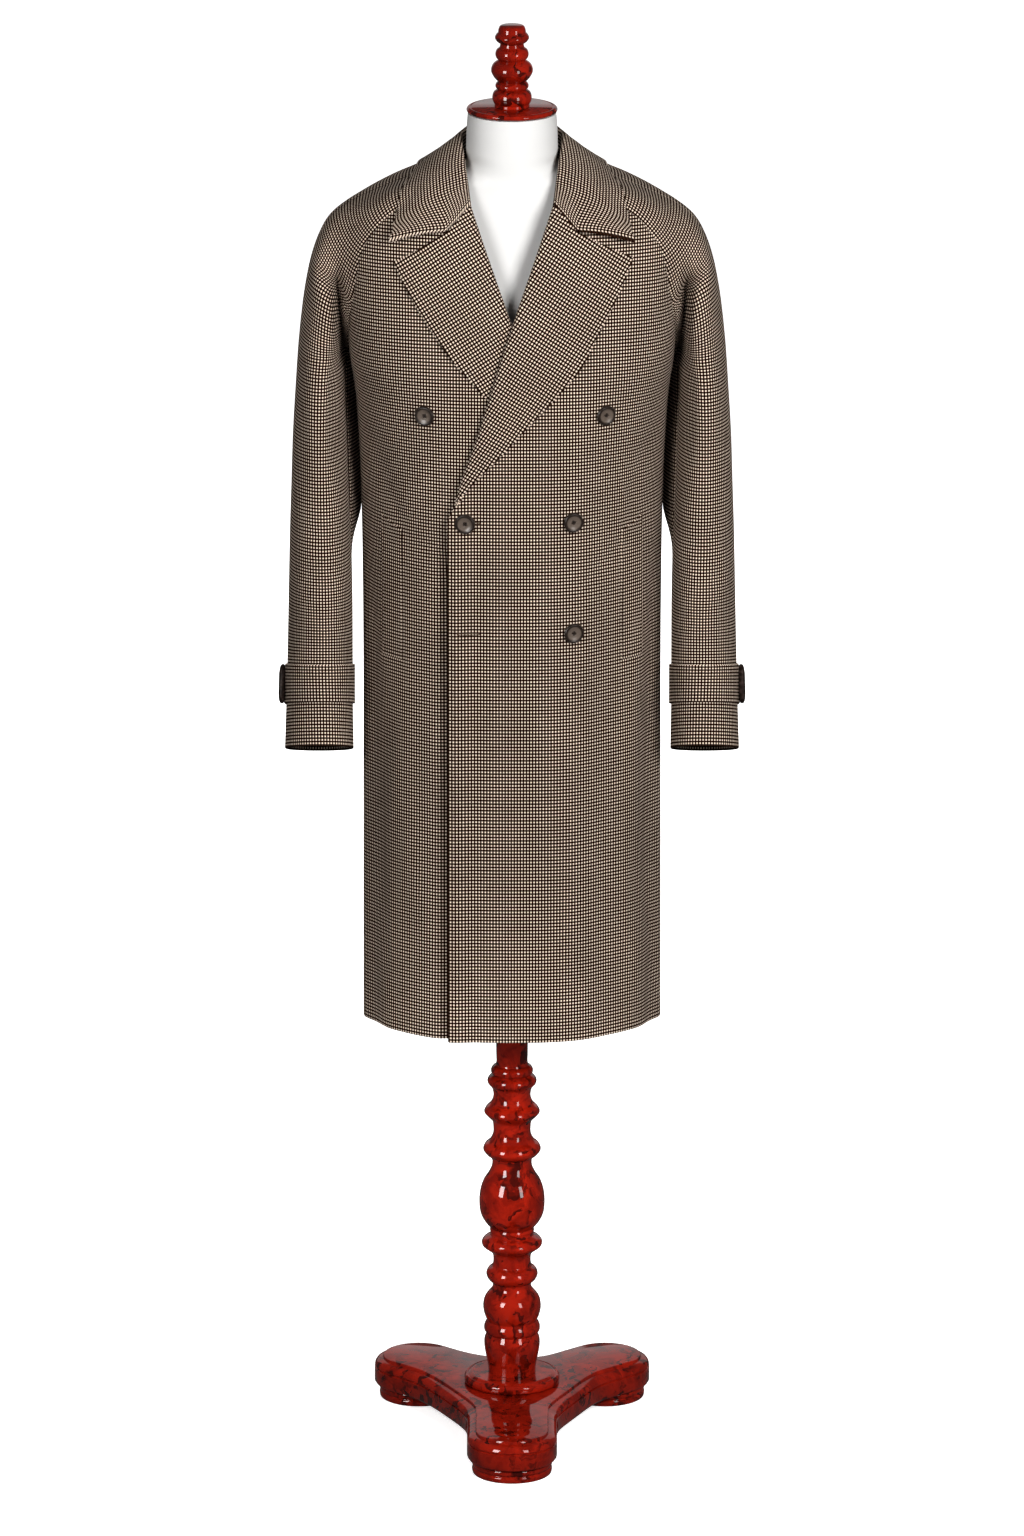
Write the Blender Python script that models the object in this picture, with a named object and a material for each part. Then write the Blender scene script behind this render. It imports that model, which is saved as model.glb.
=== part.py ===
"""Double-breasted raglan overcoat on a limbless dress form with a turned stand (metres, +Z up)."""
import math

import bmesh
import bpy
import numpy as np
from mathutils import Vector
from mathutils.bvhtree import BVHTree

for thing in list(bpy.data.objects):
    bpy.data.objects.remove(thing, do_unlink=True)

# Driving sizes
HEM_Z = 0.5415
PLAIN_TOP = 1.20          # below this height the panels are cut in level rows
CLOTH = 0.0024            # wall of body and sleeves
FACED = 0.0028            # wall of collar and lapels (two layers)
SEAM = 0.0004             # clearance at seams and between layers
HALF_SEAM = 0.00016
LAP = CLOTH + 0.0007      # the upper front stands this far outside the under front
LAP_EDGE = 17.3           # front edges, degrees from the middle of the front
LAP_FADE = 34.0           # where the upper front is back on the body form
FRONT_POWER = 2.7
BACK_POWER = 2.2
ROLL_INSET = 0.0047       # the cloth of a front stops this far inside the lapel roll
ROLL_LIFT = 0.0042        # the upper front rides over the under lapel
RIDE_WIDE = 0.055         # this far from the roll, between these heights
RIDE_LOW, RIDE_HIGH = 1.24, 1.585
AXIS_Y = 0.0343           # post axis, so that the whole stands over the origin

# Body form: height, half width, depth to the front, depth to the back, fullness of the front's sides
BODY = np.array([
    (0.5415, 0.1870, 0.1120, 0.172, 1.15),
    (0.7000, 0.1865, 0.1160, 0.171, 1.15),
    (0.8500, 0.1860, 0.1205, 0.167, 1.15),
    (1.0000, 0.1855, 0.1260, 0.160, 1.15),
    (1.1000, 0.1858, 0.1300, 0.154, 1.20),
    (1.2000, 0.1870, 0.1330, 0.150, 1.32),
    (1.3000, 0.1905, 0.1370, 0.148, 1.60),
    (1.3600, 0.1950, 0.1380, 0.149, 1.95),
    (1.4050, 0.2015, 0.1375, 0.150, 2.40),
    (1.4500, 0.2040, 0.1340, 0.150, 2.70),
    (1.5000, 0.2060, 0.1270, 0.147, 2.70),
    (1.5500, 0.2050, 0.1135, 0.138, 2.70),
    (1.6000, 0.1950, 0.0890, 0.118, 2.70),
    (1.6300, 0.1830, 0.0690, 0.103, 2.70),
    (1.6600, 0.1650, 0.0500, 0.088, 2.70),
])

# Soft vertical folds of the body: angle, half width (degrees), depth outwards, top, bottom
BODY_FOLDS = (
    (52.0, 9.0, 0.0022, 1.22, 0.50),
    (66.0, 9.0, -0.0026, 1.25, 0.50),
    (-50.0, 9.0, 0.0020, 1.20, 0.50),
    (-64.0, 9.0, -0.0026, 1.25, 0.50),
    (122.0, 14.0, 0.0040, 1.10, 0.45),
    (145.0, 13.0, -0.0040, 1.15, 0.45),
    (-124.0, 14.0, 0.0040, 1.08, 0.45),
    (-148.0, 13.0, -0.0038, 1.15, 0.45),
    (180.0, 13.0, 0.0030, 1.00, 0.45),
)

# Front raglan seam: angle on the body form, height (from the neck to the underarm)
FRONT_SEAM = np.array([
    (18.5, 1.6120), (31.5, 1.6075), (42.7, 1.5960), (52.0, 1.5740), (59.0, 1.5530),
    (63.8, 1.5250), (68.4, 1.4960), (73.9, 1.4700), (80.0, 1.4430), (85.5, 1.4200), (90.0, 1.4050),
])
# Back raglan seam, same rows
BACK_SEAM = np.array([
    (157.0, 1.6410), (150.0, 1.6180), (143.0, 1.6000), (136.0, 1.5800), (129.5, 1.5530),
    (123.0, 1.5250), (117.0, 1.4990), (110.5, 1.4730), (103.5, 1.4470), (96.5, 1.4220), (90.0, 1.4050),
])
# Neck of the back, from the raglan seam to the middle: angle, height
BACK_NECK = ((163.0, 1.6430), (171.5, 1.6450), (180.0, 1.6455))
# Overarm ridge beside each seam row: x, y, z, front handle, back handle at the ridge,
# front and back handle at the seam, how far the seam side has turned under
YOKE = np.array([
    (0.0830, 0.0120, 1.6450, 0.030, 0.030, 0.028, 0.014, 0.00),
    (0.1160, 0.0100, 1.6285, 0.032, 0.034, 0.030, 0.022, 0.00),
    (0.1500, 0.0090, 1.6155, 0.034, 0.038, 0.032, 0.034, 0.00),
    (0.1800, 0.0080, 1.6025, 0.036, 0.042, 0.034, 0.044, 0.02),
    (0.2050, 0.0070, 1.5895, 0.042, 0.048, 0.036, 0.048, 0.06),
    (0.2260, 0.0055, 1.5720, 0.050, 0.056, 0.040, 0.052, 0.14),
    (0.2390, 0.0040, 1.5490, 0.060, 0.064, 0.046, 0.058, 0.28),
    (0.2490, 0.0030, 1.5190, 0.070, 0.074, 0.056, 0.066, 0.46),
    (0.2560, 0.0015, 1.4850, 0.080, 0.084, 0.070, 0.076, 0.66),
    (0.2610, 0.0000, 1.4480, 0.089, 0.092, 0.084, 0.086, 0.86),
    (0.2650, -0.0020, 1.4080, 0.096, 0.098, 0.096, 0.096, 1.00),
])
# Arm below the underarm: height, overarm x, underarm x, middle y, front depth, back depth
ARM = np.array([
    (1.4080, 0.2650, 0.2040, -0.0020, 0.0720, 0.0735),
    (1.3720, 0.2673, 0.2060, -0.0030, 0.0715, 0.0735),
    (1.3030, 0.2716, 0.2045, -0.0050, 0.0700, 0.0720),
    (1.2400, 0.2738, 0.2026, -0.0075, 0.0685, 0.0705),
    (1.1860, 0.2757, 0.2005, -0.0100, 0.0665, 0.0685),
    (1.1000, 0.2778, 0.1985, -0.0135, 0.0635, 0.0650),
    (1.0180, 0.2797, 0.1982, -0.0170, 0.0600, 0.0610),
    (0.9500, 0.2817, 0.1982, -0.0200, 0.0565, 0.0570),
    (0.8980, 0.2835, 0.1975, -0.0220, 0.0540, 0.0540),
])
ARM_ROWS = (1.3840, 1.3500, 1.3050, 1.2500, 1.1900, 1.1250, 1.0600, 1.0000, 0.9450, 0.8980)
LEAN_IN = 0.054           # the back of a sleeve leans in to the body, between these heights
LEAN_TOP, LEAN_LOW = 1.395, 1.135
LEAN_TOP_FADE, LEAN_LOW_FADE = 0.05, 0.07
OUTER_ROUND, INNER_ROUND = 0.88, 1.16   # the front of a sleeve is fuller on the side of the body
CUFF_TILT = 0.34          # the cuff rises to the front by this slope
TILT_FROM, TILT_FULL = 1.16, 0.93
# Soft folds of the sleeve: 0 to 1 across each half (overarm to underarm), half width,
# depth outwards, top height, bottom height
SLEEVE_FOLDS = (
    (0.42, 0.20, 0.0025, 1.54, 1.26),
    (0.72, 0.20, -0.0040, 1.50, 1.20),
)

# Lapels: height and x of the roll, then height and x of the outer edge of the upper lapel
# and of the under lapel (measured on its own side)
LAPEL = np.array([
    (1.2420, -0.0705, 1.2480, -0.0640, 1.2600, -0.0600),
    (1.2826, -0.0590, 1.2743, -0.0437, 1.2900, -0.0380),
    (1.3285, -0.0435, 1.3092, -0.0110, 1.3250, -0.0100),
    (1.3750, -0.0295, 1.3448, 0.0210, 1.3560, 0.0130),
    (1.4219, -0.0155, 1.3799, 0.0534, 1.3880, 0.0400),
    (1.4680, -0.0002, 1.4169, 0.0839, 1.4230, 0.0710),
    (1.5136, 0.0160, 1.4593, 0.1058, 1.4610, 0.0980),
    (1.5596, 0.0326, 1.5015, 0.1283, 1.4990, 0.1220),
    (1.6053, 0.0491, 1.5455, 0.1470, 1.5402, 0.1436),
])
GORGE_X, GORGE_Z = 0.0800, 1.5745
BREAK_Z = 1.2150
LAPEL_BLOOM = 0.0030      # swell of a lapel
LAPEL_LOW, UNDER_LOW = 1.2660, 1.4040   # the upper and the under lapel show from these heights of the roll
LAPEL_TURN = 1.53         # above this height of the roll the lapel bends to the gorge
UNDER_TUCK = 0.014        # the under lapel ends this far behind the upper front

# Collar, front end to middle back: roll x, y, z, outer edge x, y, z, stand height, swell of the fall
COLLAR = np.array([
    (0.0520, -0.0860, 1.6085, 0.1505, -0.1060, 1.5675, 0.003, 0.010),
    (0.0562, -0.0660, 1.6315, 0.1440, -0.0860, 1.5920, 0.005, 0.010),
    (0.0612, -0.0350, 1.6545, 0.1345, -0.0560, 1.6140, 0.008, 0.006),
    (0.0655, 0.0060, 1.6730, 0.1200, 0.0000, 1.6340, 0.018, 0.002),
    (0.0610, 0.0430, 1.6730, 0.1080, 0.0560, 1.6230, 0.018, 0.003),
    (0.0420, 0.0670, 1.6810, 0.0700, 0.1050, 1.6160, 0.026, 0.008),
    (0.0000, 0.0760, 1.6840, 0.0000, 0.1235, 1.6050, 0.029, 0.010),
])
COLLAR_FOLD = 0.0045      # half thickness of the folded collar at its roll

# Pocket welts: angles of their columns on the body form, from the inner to the outer edge
WELT_COLUMNS = (40.8, 42.7, 47.3, 52.0, 54.0)
WELT_OUTER_TOP, WELT_INNER_TOP = 1.2100, 1.1970
WELT_BOTTOM = 1.0290
WELT = 0.0018

STRAP_LOW, STRAP_HIGH = 0.9550, 1.0050
STRAP = 0.0022
BUCKLE_HIGH, BUCKLE_WIDE, BUCKLE_THICK = 0.0490, 0.0360, 0.0062
BUCKLE_BAR = 0.0085

# Front buttons: x, z; those beyond the lap's edge are on the under front
LAP_X = -0.0775
BUTTONS = ((-0.1065, 1.3520), (0.1145, 1.3520), (-0.0563, 1.2180), (0.0742, 1.2180), (0.0744, 1.0750))
# Button profile: radius, height above the cloth
BUTTON = ((0.0095, 0.0), (0.0118, 0.0012), (0.0125, 0.0026), (0.0118, 0.0042), (0.0098, 0.0046),
          (0.0074, 0.0034))

# Dress form: height, half width, depth to the front, depth to the back
FORM = np.array([
    (0.9300, 0.1480, 0.0960, 0.1180),
    (0.9360, 0.1540, 0.1010, 0.1230),
    (0.9900, 0.1580, 0.1030, 0.1270),
    (1.0800, 0.1480, 0.0970, 0.1180),
    (1.1700, 0.1380, 0.0960, 0.1080),
    (1.2700, 0.1520, 0.1080, 0.1160),
    (1.3600, 0.1700, 0.1170, 0.1270),
    (1.4400, 0.1780, 0.1120, 0.1280),
    (1.5100, 0.1800, 0.0980, 0.1160),
    (1.5650, 0.1780, 0.0780, 0.0960),
    (1.5950, 0.1700, 0.0640, 0.0800),
    (1.6071, 0.1600, 0.0600, 0.0720),
    (1.6161, 0.1410, 0.0580, 0.0660),
    (1.6266, 0.1130, 0.0570, 0.0620),
    (1.6322, 0.0880, 0.0565, 0.0600),
    (1.6370, 0.0680, 0.0562, 0.0585),
    (1.6440, 0.0590, 0.0560, 0.0575),
    (1.6600, 0.0570, 0.0558, 0.0570),
    (1.6850, 0.0560, 0.0555, 0.0560),
    (1.7055, 0.0545, 0.0545, 0.0545),
])

# Turned pieces: radius, height
POST = ((0.0300, 0.0693), (0.0303, 0.0760), (0.0330, 0.0930), (0.0354, 0.1105), (0.0327, 0.1210),
        (0.0350, 0.1290), (0.0319, 0.1380), (0.0340, 0.1440), (0.0362, 0.1565), (0.0335, 0.1680),
        (0.0255, 0.1770), (0.0239, 0.1840), (0.0255, 0.1900), (0.0322, 0.2000), (0.0255, 0.2090),
        (0.0231, 0.2170), (0.0255, 0.2270), (0.0377, 0.2410), (0.0278, 0.2520), (0.0263, 0.2570),
        (0.0278, 0.2610), (0.0350, 0.2720), (0.0398, 0.2860), (0.0409, 0.2980), (0.0392, 0.3120),
        (0.0345, 0.3250), (0.0278, 0.3360), (0.0250, 0.3440), (0.0286, 0.3540), (0.0357, 0.3655),
        (0.0246, 0.3790), (0.0238, 0.3940), (0.0285, 0.4060), (0.0345, 0.4150), (0.0270, 0.4250),
        (0.0230, 0.4330), (0.0254, 0.4450), (0.0305, 0.4550), (0.0230, 0.4650), (0.0254, 0.4710),
        (0.0195, 0.4780), (0.0195, 0.9297))
FINIAL = ((0.0217, 1.7134), (0.0217, 1.7166), (0.0230, 1.7190), (0.0240, 1.7275), (0.0178, 1.7340),
          (0.0204, 1.7397), (0.0172, 1.7446), (0.0219, 1.7500), (0.0257, 1.7590), (0.0232, 1.7665),
          (0.0166, 1.7710), (0.0204, 1.7800), (0.0160, 1.7860), (0.0143, 1.7920), (0.0210, 1.8000),
          (0.0178, 1.8045), (0.0155, 1.8105), (0.0070, 1.8155))
NECK_CAP = ((0.0500, 1.7058), (0.0548, 1.7070), (0.0562, 1.7095), (0.0548, 1.7120), (0.0500, 1.7130))
BASE_DISC = ((0.0570, 0.0553), (0.0600, 0.0580), (0.0600, 0.0650), (0.0560, 0.0690))

# Base: leg ends as x, y from the post axis
LEGS = (("front", 0.0, -0.187), ("left", 0.119, 0.106), ("right", -0.119, 0.106))
LEG_HALF, LEG_BLEND = 0.0565, 0.0750
PAD_RADIUS, PAD_TOP = 0.0500, 0.0177
# Base edge: height, inset from the outline
BASE_EDGE = ((0.0180, 0.0030), (0.0215, 0.0), (0.0420, 0.0), (0.0490, 0.0030), (0.0535, 0.0085),
             (0.0550, 0.0150))


def material(name, colour, rough):
    made = bpy.data.materials.new(name)
    made.use_nodes = True
    shader = made.node_tree.nodes["Principled BSDF"]
    shader.inputs["Base Color"].default_value = (*colour, 1.0)
    shader.inputs["Roughness"].default_value = rough
    made.diffuse_color = (*colour, 1.0)
    return made


CHECK_CLOTH = ((0.20, 0.15, 0.115), 0.9)
DARK_HORN = ((0.045, 0.025, 0.018), 0.35)
DARK_LEATHER = ((0.035, 0.018, 0.012), 0.5)
WHITE_FORM = ((0.9, 0.9, 0.88), 0.6)
RED_LACQUER = ((0.29, 0.025, 0.012), 0.15)


def smooth(table, column, at):
    """Smooth value of one column of a table at one value of its first column."""
    xs, ys = table[:, 0], table[:, column]
    if xs[0] > xs[-1]:
        xs, ys = xs[::-1], ys[::-1]
    at = min(max(at, xs[0]), xs[-1])
    i = min(max(int(np.searchsorted(xs, at)) - 1, 0), len(xs) - 2)
    slopes = np.diff(ys) / np.diff(xs)

    def bend(k):
        if k == 0 or k == len(xs) - 1:
            return slopes[min(k, len(slopes) - 1)]
        left, right = xs[k] - xs[k - 1], xs[k + 1] - xs[k]
        return (slopes[k - 1] * right + slopes[k] * left) / (left + right)

    step = xs[i + 1] - xs[i]
    t = (at - xs[i]) / step
    return ((2 * t**3 - 3 * t**2 + 1) * ys[i] + (t**3 - 2 * t**2 + t) * step * bend(i)
            + (3 * t**2 - 2 * t**3) * ys[i + 1] + (t**3 - t**2) * step * bend(i + 1))


def ease(t):
    t = min(max(t, 0.0), 1.0)
    return t * t * (3 - 2 * t)


def unit(v):
    return v / max(np.linalg.norm(v), 1e-12)


def body_base(angle, z):
    """Point of the plain body form; angle 0 is the middle front, 90 the +X side, 180 the back."""
    a, front, back, sides = (smooth(BODY, c, z) for c in (1, 2, 3, 4))
    s, c = math.sin(math.radians(angle)), math.cos(math.radians(angle))
    wide, deep = (FRONT_POWER, sides) if c > 0 else (BACK_POWER, BACK_POWER)
    x = a * math.copysign(abs(s) ** (2 / wide), s)
    y = (-front if c > 0 else back) * abs(c) ** (2 / deep)
    return np.array((x, y, z))


def body_normal(angle, z):
    across = body_base(angle + 0.8, z) - body_base(angle - 0.8, z)
    up = body_base(angle, min(z + 0.004, BODY[-1, 0])) - body_base(angle, z - 0.004)
    return unit(np.cross(across, up))


def body_fold(angle, z):
    total = 0.0
    for centre, half, depth, top, bottom in BODY_FOLDS:
        away = (angle - centre + 180) % 360 - 180
        along = ease((top - z) / 0.22) * ease((z - bottom) / 0.05)
        total += depth * along * math.exp(-(away / half) ** 2)
    return total


def body_point(angle, z, out=0.0):
    return body_base(angle, z) + body_normal(angle, z) * (out + body_fold(angle, z))


def angle_of(x, z):
    a = smooth(BODY, 1, z)
    return math.copysign(math.degrees(math.asin(min(abs(x / a), 1.0) ** (FRONT_POWER / 2))), x)


def roll_x(z):
    return smooth(LAPEL, 1, z)


def front_lift(side, angle, z):
    """How far a front stands outside the body form: only the upper front (+1) does."""
    if side < 0:
        return 0.0
    lift = LAP * ease((LAP_FADE - angle) / (LAP_FADE - LAP_EDGE))
    x = body_base(angle, z)[0]
    near = ease(1 - (x - roll_x(max(z, LAPEL[0, 0]))) / RIDE_WIDE)
    return lift + ROLL_LIFT * near * ease((z - RIDE_LOW) / 0.09) * ease((RIDE_HIGH - z) / 0.06)


def front_point(side, x, z, out=0.0):
    """Point on one front from x and z of the +X front; side -1 mirrors it."""
    angle = angle_of(x, z)
    p = body_base(angle, z)
    fold = body_fold(side * angle, z)
    p = p + body_normal(angle, z) * (out + fold + front_lift(side, angle, z))
    return p * np.array((side, 1, 1))


def front_normal(side, x, z):
    return body_normal(angle_of(x, z), z) * np.array((side, 1, 1))


def front_columns():
    """Columns of a front: angle, top height, from the side seam to the front edge."""
    columns = [(a, z) for a, z in FRONT_SEAM[::-1]]
    neck = (angle_of(LAPEL[-1, 1] + ROLL_INSET, LAPEL[-1, 0]), LAPEL[-1, 0] - 0.011)
    columns.append((0.5 * (columns[-1][0] + neck[0]), 1.5990))
    columns.append(neck)
    for z in (1.573, 1.535, 1.492, 1.445, 1.395, 1.345, 1.295, 1.250):
        columns.append((angle_of(roll_x(z) + ROLL_INSET, z), z))
    columns.append((-LAP_EDGE, BREAK_Z + 0.006))
    return columns


PLAIN_ROWS = (HEM_Z, 0.66, 0.80, 0.94, 1.07, PLAIN_TOP)
UPPER_ROWS = 8


def column_heights(top):
    lower = list(PLAIN_ROWS)
    if top < PLAIN_TOP + 0.02:
        top = PLAIN_TOP + 0.02
    return lower + [PLAIN_TOP + (top - PLAIN_TOP) * k / UPPER_ROWS for k in range(1, UPPER_ROWS + 1)]


def front_grids(side):
    outer, inner = [], []
    for i, (angle, top) in enumerate(front_columns()):
        if i < len(FRONT_SEAM):
            top -= SEAM
        line_out, line_in = [], []
        for z in column_heights(top):
            lift = front_lift(side, angle, z)
            mirror = np.array((side, 1, 1))
            base, normal = body_base(angle, z), body_normal(angle, z)
            fold = body_fold(side * angle, z)
            p = base + normal * (lift + fold)
            q = base + normal * (lift + fold - CLOTH)
            if i == 0:
                p[1] -= HALF_SEAM
                q[1] -= HALF_SEAM
            line_out.append(p * mirror)
            line_in.append(q * mirror)
        outer.append(line_out)
        inner.append(line_in)
    return np.array(outer), np.array(inner)


def back_grids():
    half = [*BACK_SEAM[::-1], *BACK_NECK]
    columns = [(a, z, 1) for a, z in half] + [(a, z, -1) for a, z in half[-2::-1]]
    outer, inner = [], []
    for i, (angle, top, side) in enumerate(columns):
        line_out, line_in = [], []
        for z in column_heights(top - SEAM):
            mirror = np.array((side, 1, 1))
            base, normal = body_base(angle, z), body_normal(angle, z)
            fold = body_fold(side * angle, z)
            p, q = base + normal * fold, base + normal * (fold - CLOTH)
            if i in (0, len(columns) - 1):
                p[1] += HALF_SEAM
                q[1] += HALF_SEAM
            line_out.append(p * mirror)
            line_in.append(q * mirror)
        outer.append(line_out)
        inner.append(line_in)
    return np.array(outer), np.array(inner)


def bezier(p0, p1, p2, p3, t):
    return (1 - t)**3 * p0 + 3 * t * (1 - t)**2 * p1 + 3 * t * t * (1 - t) * p2 + t**3 * p3


def seam_point(row, face):
    angle, z = (FRONT_SEAM if face < 0 else BACK_SEAM)[row]
    return body_point(angle, z)


def yoke_section(row, face, t):
    """Point across the shoulder, t 0 at the overarm, 1 at the raglan seam; face -1 front, +1 back."""
    x, y, z, ridge_front, ridge_back, seam_front, seam_back, turned = YOKE[row]
    ridge = np.array((x, y, z))
    end = seam_point(row, face)
    angle, height = (FRONT_SEAM if face < 0 else BACK_SEAM)[row]
    last = len(YOKE) - 1
    along = seam_point(min(row + 1, last), face) - seam_point(max(row - 1, 0), face)
    away = unit(np.cross(along, body_normal(angle, height))) * (-face)
    if np.dot(away, ridge - end) < 0 and row < last:
        away = -away
    lean = unit((1 - turned) * away + turned * np.array((0, face, 0)))
    ridge_handle = ridge_front if face < 0 else ridge_back
    seam_handle = seam_front if face < 0 else seam_back
    return bezier(ridge, ridge + np.array((0, face * ridge_handle, 0)), end + lean * seam_handle, end, t)


def arm_section(z, face, t):
    over, under, middle, front, back = (smooth(ARM, c, z) for c in (1, 2, 3, 4, 5))
    handle = (front if face < 0 else back) / 0.75
    outer_handle = handle * (OUTER_ROUND if face < 0 else 1.0)
    inner_handle = handle * (INNER_ROUND if face < 0 else 1.0)
    ridge, end = np.array((over, middle, z)), np.array((under, middle, z))
    lean = LEAN_IN * ease((LEAN_TOP - z) / LEAN_TOP_FADE) if face > 0 else 0.0
    lean *= ease((z - LEAN_LOW) / LEAN_LOW_FADE)
    inner = end + np.array((-lean, face * inner_handle, 0))
    p = bezier(ridge, ridge + np.array((0, face * outer_handle, 0)), inner, end, t)
    p[2] -= CUFF_TILT * ease((TILT_FROM - z) / (TILT_FROM - TILT_FULL)) * (p[1] - middle)
    return p


SLEEVE_STEPS = (0.0, 0.10, 0.21, 0.33, 0.45, 0.57, 0.69, 0.80, 0.90, 1.0)


def sleeve_line(row, face):
    if row < len(YOKE):
        return [yoke_section(row, face, t) for t in SLEEVE_STEPS]
    return [arm_section(ARM_ROWS[row - len(YOKE)], face, t) for t in SLEEVE_STEPS]


def grid_normals(grid):
    across = np.gradient(grid, axis=1)
    along = np.gradient(grid, axis=0)
    normals = np.cross(across, along)
    return normals / np.maximum(np.linalg.norm(normals, axis=2, keepdims=True), 1e-12)


def sleeve_grids(side, face):
    """Outer and inner points of half a sleeve (face -1 front, +1 back)."""
    rows = len(YOKE) + len(ARM_ROWS)
    outer = np.array([sleeve_line(r, face) for r in range(rows)])
    normals = -face * grid_normals(outer)
    along = np.gradient(outer[:, 0], axis=0)
    ridge = np.cross(np.tile((0.0, 1.0, 0.0), (rows, 1)), along)
    normals[:, 0] = np.array([unit(n) for n in ridge])
    if normals[5, 0][0] < 0:
        normals[:, 0] *= -1
    start = len(YOKE)
    under = np.cross(np.gradient(outer[:, -1], axis=0), np.tile((0.0, 1.0, 0.0), (rows, 1)))
    for r in range(start - 1, rows):
        n = unit(under[r]) if r >= start else np.array((-1.0, 0.0, 0.0))
        normals[r, -1] = n if n[0] < 0 else -n
    for r, (angle, z) in enumerate((FRONT_SEAM if face < 0 else BACK_SEAM)[:6]):
        own = ease((r - 3) / 3)
        normals[r, -1] = unit(normals[r, -1] * own + body_normal(angle, z) * (1 - own))
    if face < 0:
        for r in range(rows):
            for c, t in enumerate(SLEEVE_STEPS):
                z = outer[r, c, 2]
                push = sum(depth * math.exp(-((t - mid) / half) ** 2) * ease((top - z) / 0.08)
                           * ease((z - low) / 0.10) for mid, half, depth, top, low in SLEEVE_FOLDS)
                outer[r, c] += normals[r, c] * push * ease((1 - t) / 0.12)
    inner = outer - normals * CLOTH
    for grid in (outer, inner):
        grid[:, 0, 1] += face * HALF_SEAM
        grid[start - 1:, -1, 1] += face * HALF_SEAM
    mirror = np.array((side, 1, 1))
    return outer * mirror, inner * mirror


def add_object(name, mesh_points, faces, look):
    mesh = bpy.data.meshes.new(name)
    shifted = [(p[0], p[1] + AXIS_Y, p[2]) for p in mesh_points]
    mesh.from_pydata(shifted, [], faces)
    work = bmesh.new()
    work.from_mesh(mesh)
    bmesh.ops.triangulate(work, faces=work.faces)
    bmesh.ops.recalc_face_normals(work, faces=work.faces)
    if work.calc_volume(signed=True) < 0:
        bmesh.ops.reverse_faces(work, faces=work.faces)
    work.to_mesh(mesh)
    work.free()
    made = bpy.data.objects.new(name, mesh)
    bpy.context.scene.collection.objects.link(made)
    mesh.materials.append(material(name, *look))
    return made


def wall(name, outer, inner, look):
    """Closed solid between two grids of points."""
    rows, cols = outer.shape[:2]
    points = np.concatenate((outer.reshape(-1, 3), inner.reshape(-1, 3)))
    shift = rows * cols

    def at(r, c, layer):
        return layer * shift + r * cols + c

    faces = []
    for r in range(rows - 1):
        for c in range(cols - 1):
            faces.append((at(r, c, 0), at(r, c + 1, 0), at(r + 1, c + 1, 0), at(r + 1, c, 0)))
            faces.append((at(r, c, 1), at(r + 1, c, 1), at(r + 1, c + 1, 1), at(r, c + 1, 1)))
    for r in range(rows - 1):
        for c in (0, cols - 1):
            faces.append((at(r, c, 0), at(r + 1, c, 0), at(r + 1, c, 1), at(r, c, 1)))
    for c in range(cols - 1):
        for r in (0, rows - 1):
            faces.append((at(r, c, 0), at(r, c + 1, 0), at(r, c + 1, 1), at(r, c, 1)))
    return add_object(name, points, faces, look)


def lathe(name, profile, look, steps, place=None):
    """Closed turned solid; place maps a local point to where it stands."""
    points, faces = [], []
    for radius, z in profile:
        for k in range(steps):
            turn = 2 * math.pi * k / steps
            points.append(np.array((radius * math.cos(turn), radius * math.sin(turn), z)))
    rings = len(profile)
    for r in range(rings - 1):
        for k in range(steps):
            n = (k + 1) % steps
            faces.append((r * steps + k, r * steps + n, (r + 1) * steps + n, (r + 1) * steps + k))
    faces.append(tuple(range(steps)))
    faces.append(tuple((rings - 1) * steps + k for k in range(steps)))
    if place:
        points = [place(p) for p in points]
    return add_object(name, points, faces, look)


def rings_solid(name, table, look, steps):
    """Closed solid of level rings from a table of height, half width and depths."""
    points, faces = [], []
    for z, a, front, back_depth in table:
        for k in range(steps):
            turn = 2 * math.pi * k / steps
            s, c = math.sin(turn), math.cos(turn)
            points.append((a * s, -c * (front if c > 0 else back_depth), z))
    for r in range(len(table) - 1):
        for k in range(steps):
            n = (k + 1) % steps
            faces.append((r * steps + k, r * steps + n, (r + 1) * steps + n, (r + 1) * steps + k))
    faces.append(tuple(range(steps)))
    faces.append(tuple((len(table) - 1) * steps + k for k in range(steps)))
    return add_object(name, points, faces, look)


# Panels of the coat
front_left = wall("front_left", *front_grids(1), CHECK_CLOTH)
front_right = wall("front_right", *front_grids(-1), CHECK_CLOTH)
back = wall("back", *back_grids(), CHECK_CLOTH)
sleeves = {}
for label, side in (("left", 1), ("right", -1)):
    for part, face in (("front", -1), ("back", 1)):
        name = "sleeve_" + label + "_" + part
        sleeves[name] = wall(name, *sleeve_grids(side, face), CHECK_CLOTH)


def surface_of(*objects):
    """Search tree over the given solids, in the frame before the shift to the post axis."""
    points, faces = [], []
    for thing in objects:
        first = len(points)
        points += [(v.co.x, v.co.y - AXIS_Y, v.co.z) for v in thing.data.vertices]
        faces += [tuple(first + i for i in p.vertices) for p in thing.data.polygons]
    return BVHTree.FromPolygons(points, faces)


def drop(tree, point, up, reach=0.05):
    """Where a line along -up through the point first meets the solids, or None."""
    hit = tree.ray_cast(Vector(point + up * reach), Vector(-up), reach + 0.03)[0]
    return None if hit is None else np.array(hit)


def lie_on(tree, point, up, clear):
    """Move a point along up until it is clear of what lies under it."""
    hit = drop(tree, point, up)
    if hit is None:
        return point
    height = float(np.dot(point - hit, up))
    return point + up * (clear - height) if height < clear else point


front_trees = {1: surface_of(front_left), -1: surface_of(front_right)}
LAY = 0.0007              # clearance of what lies on a panel, over its flat facets


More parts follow.
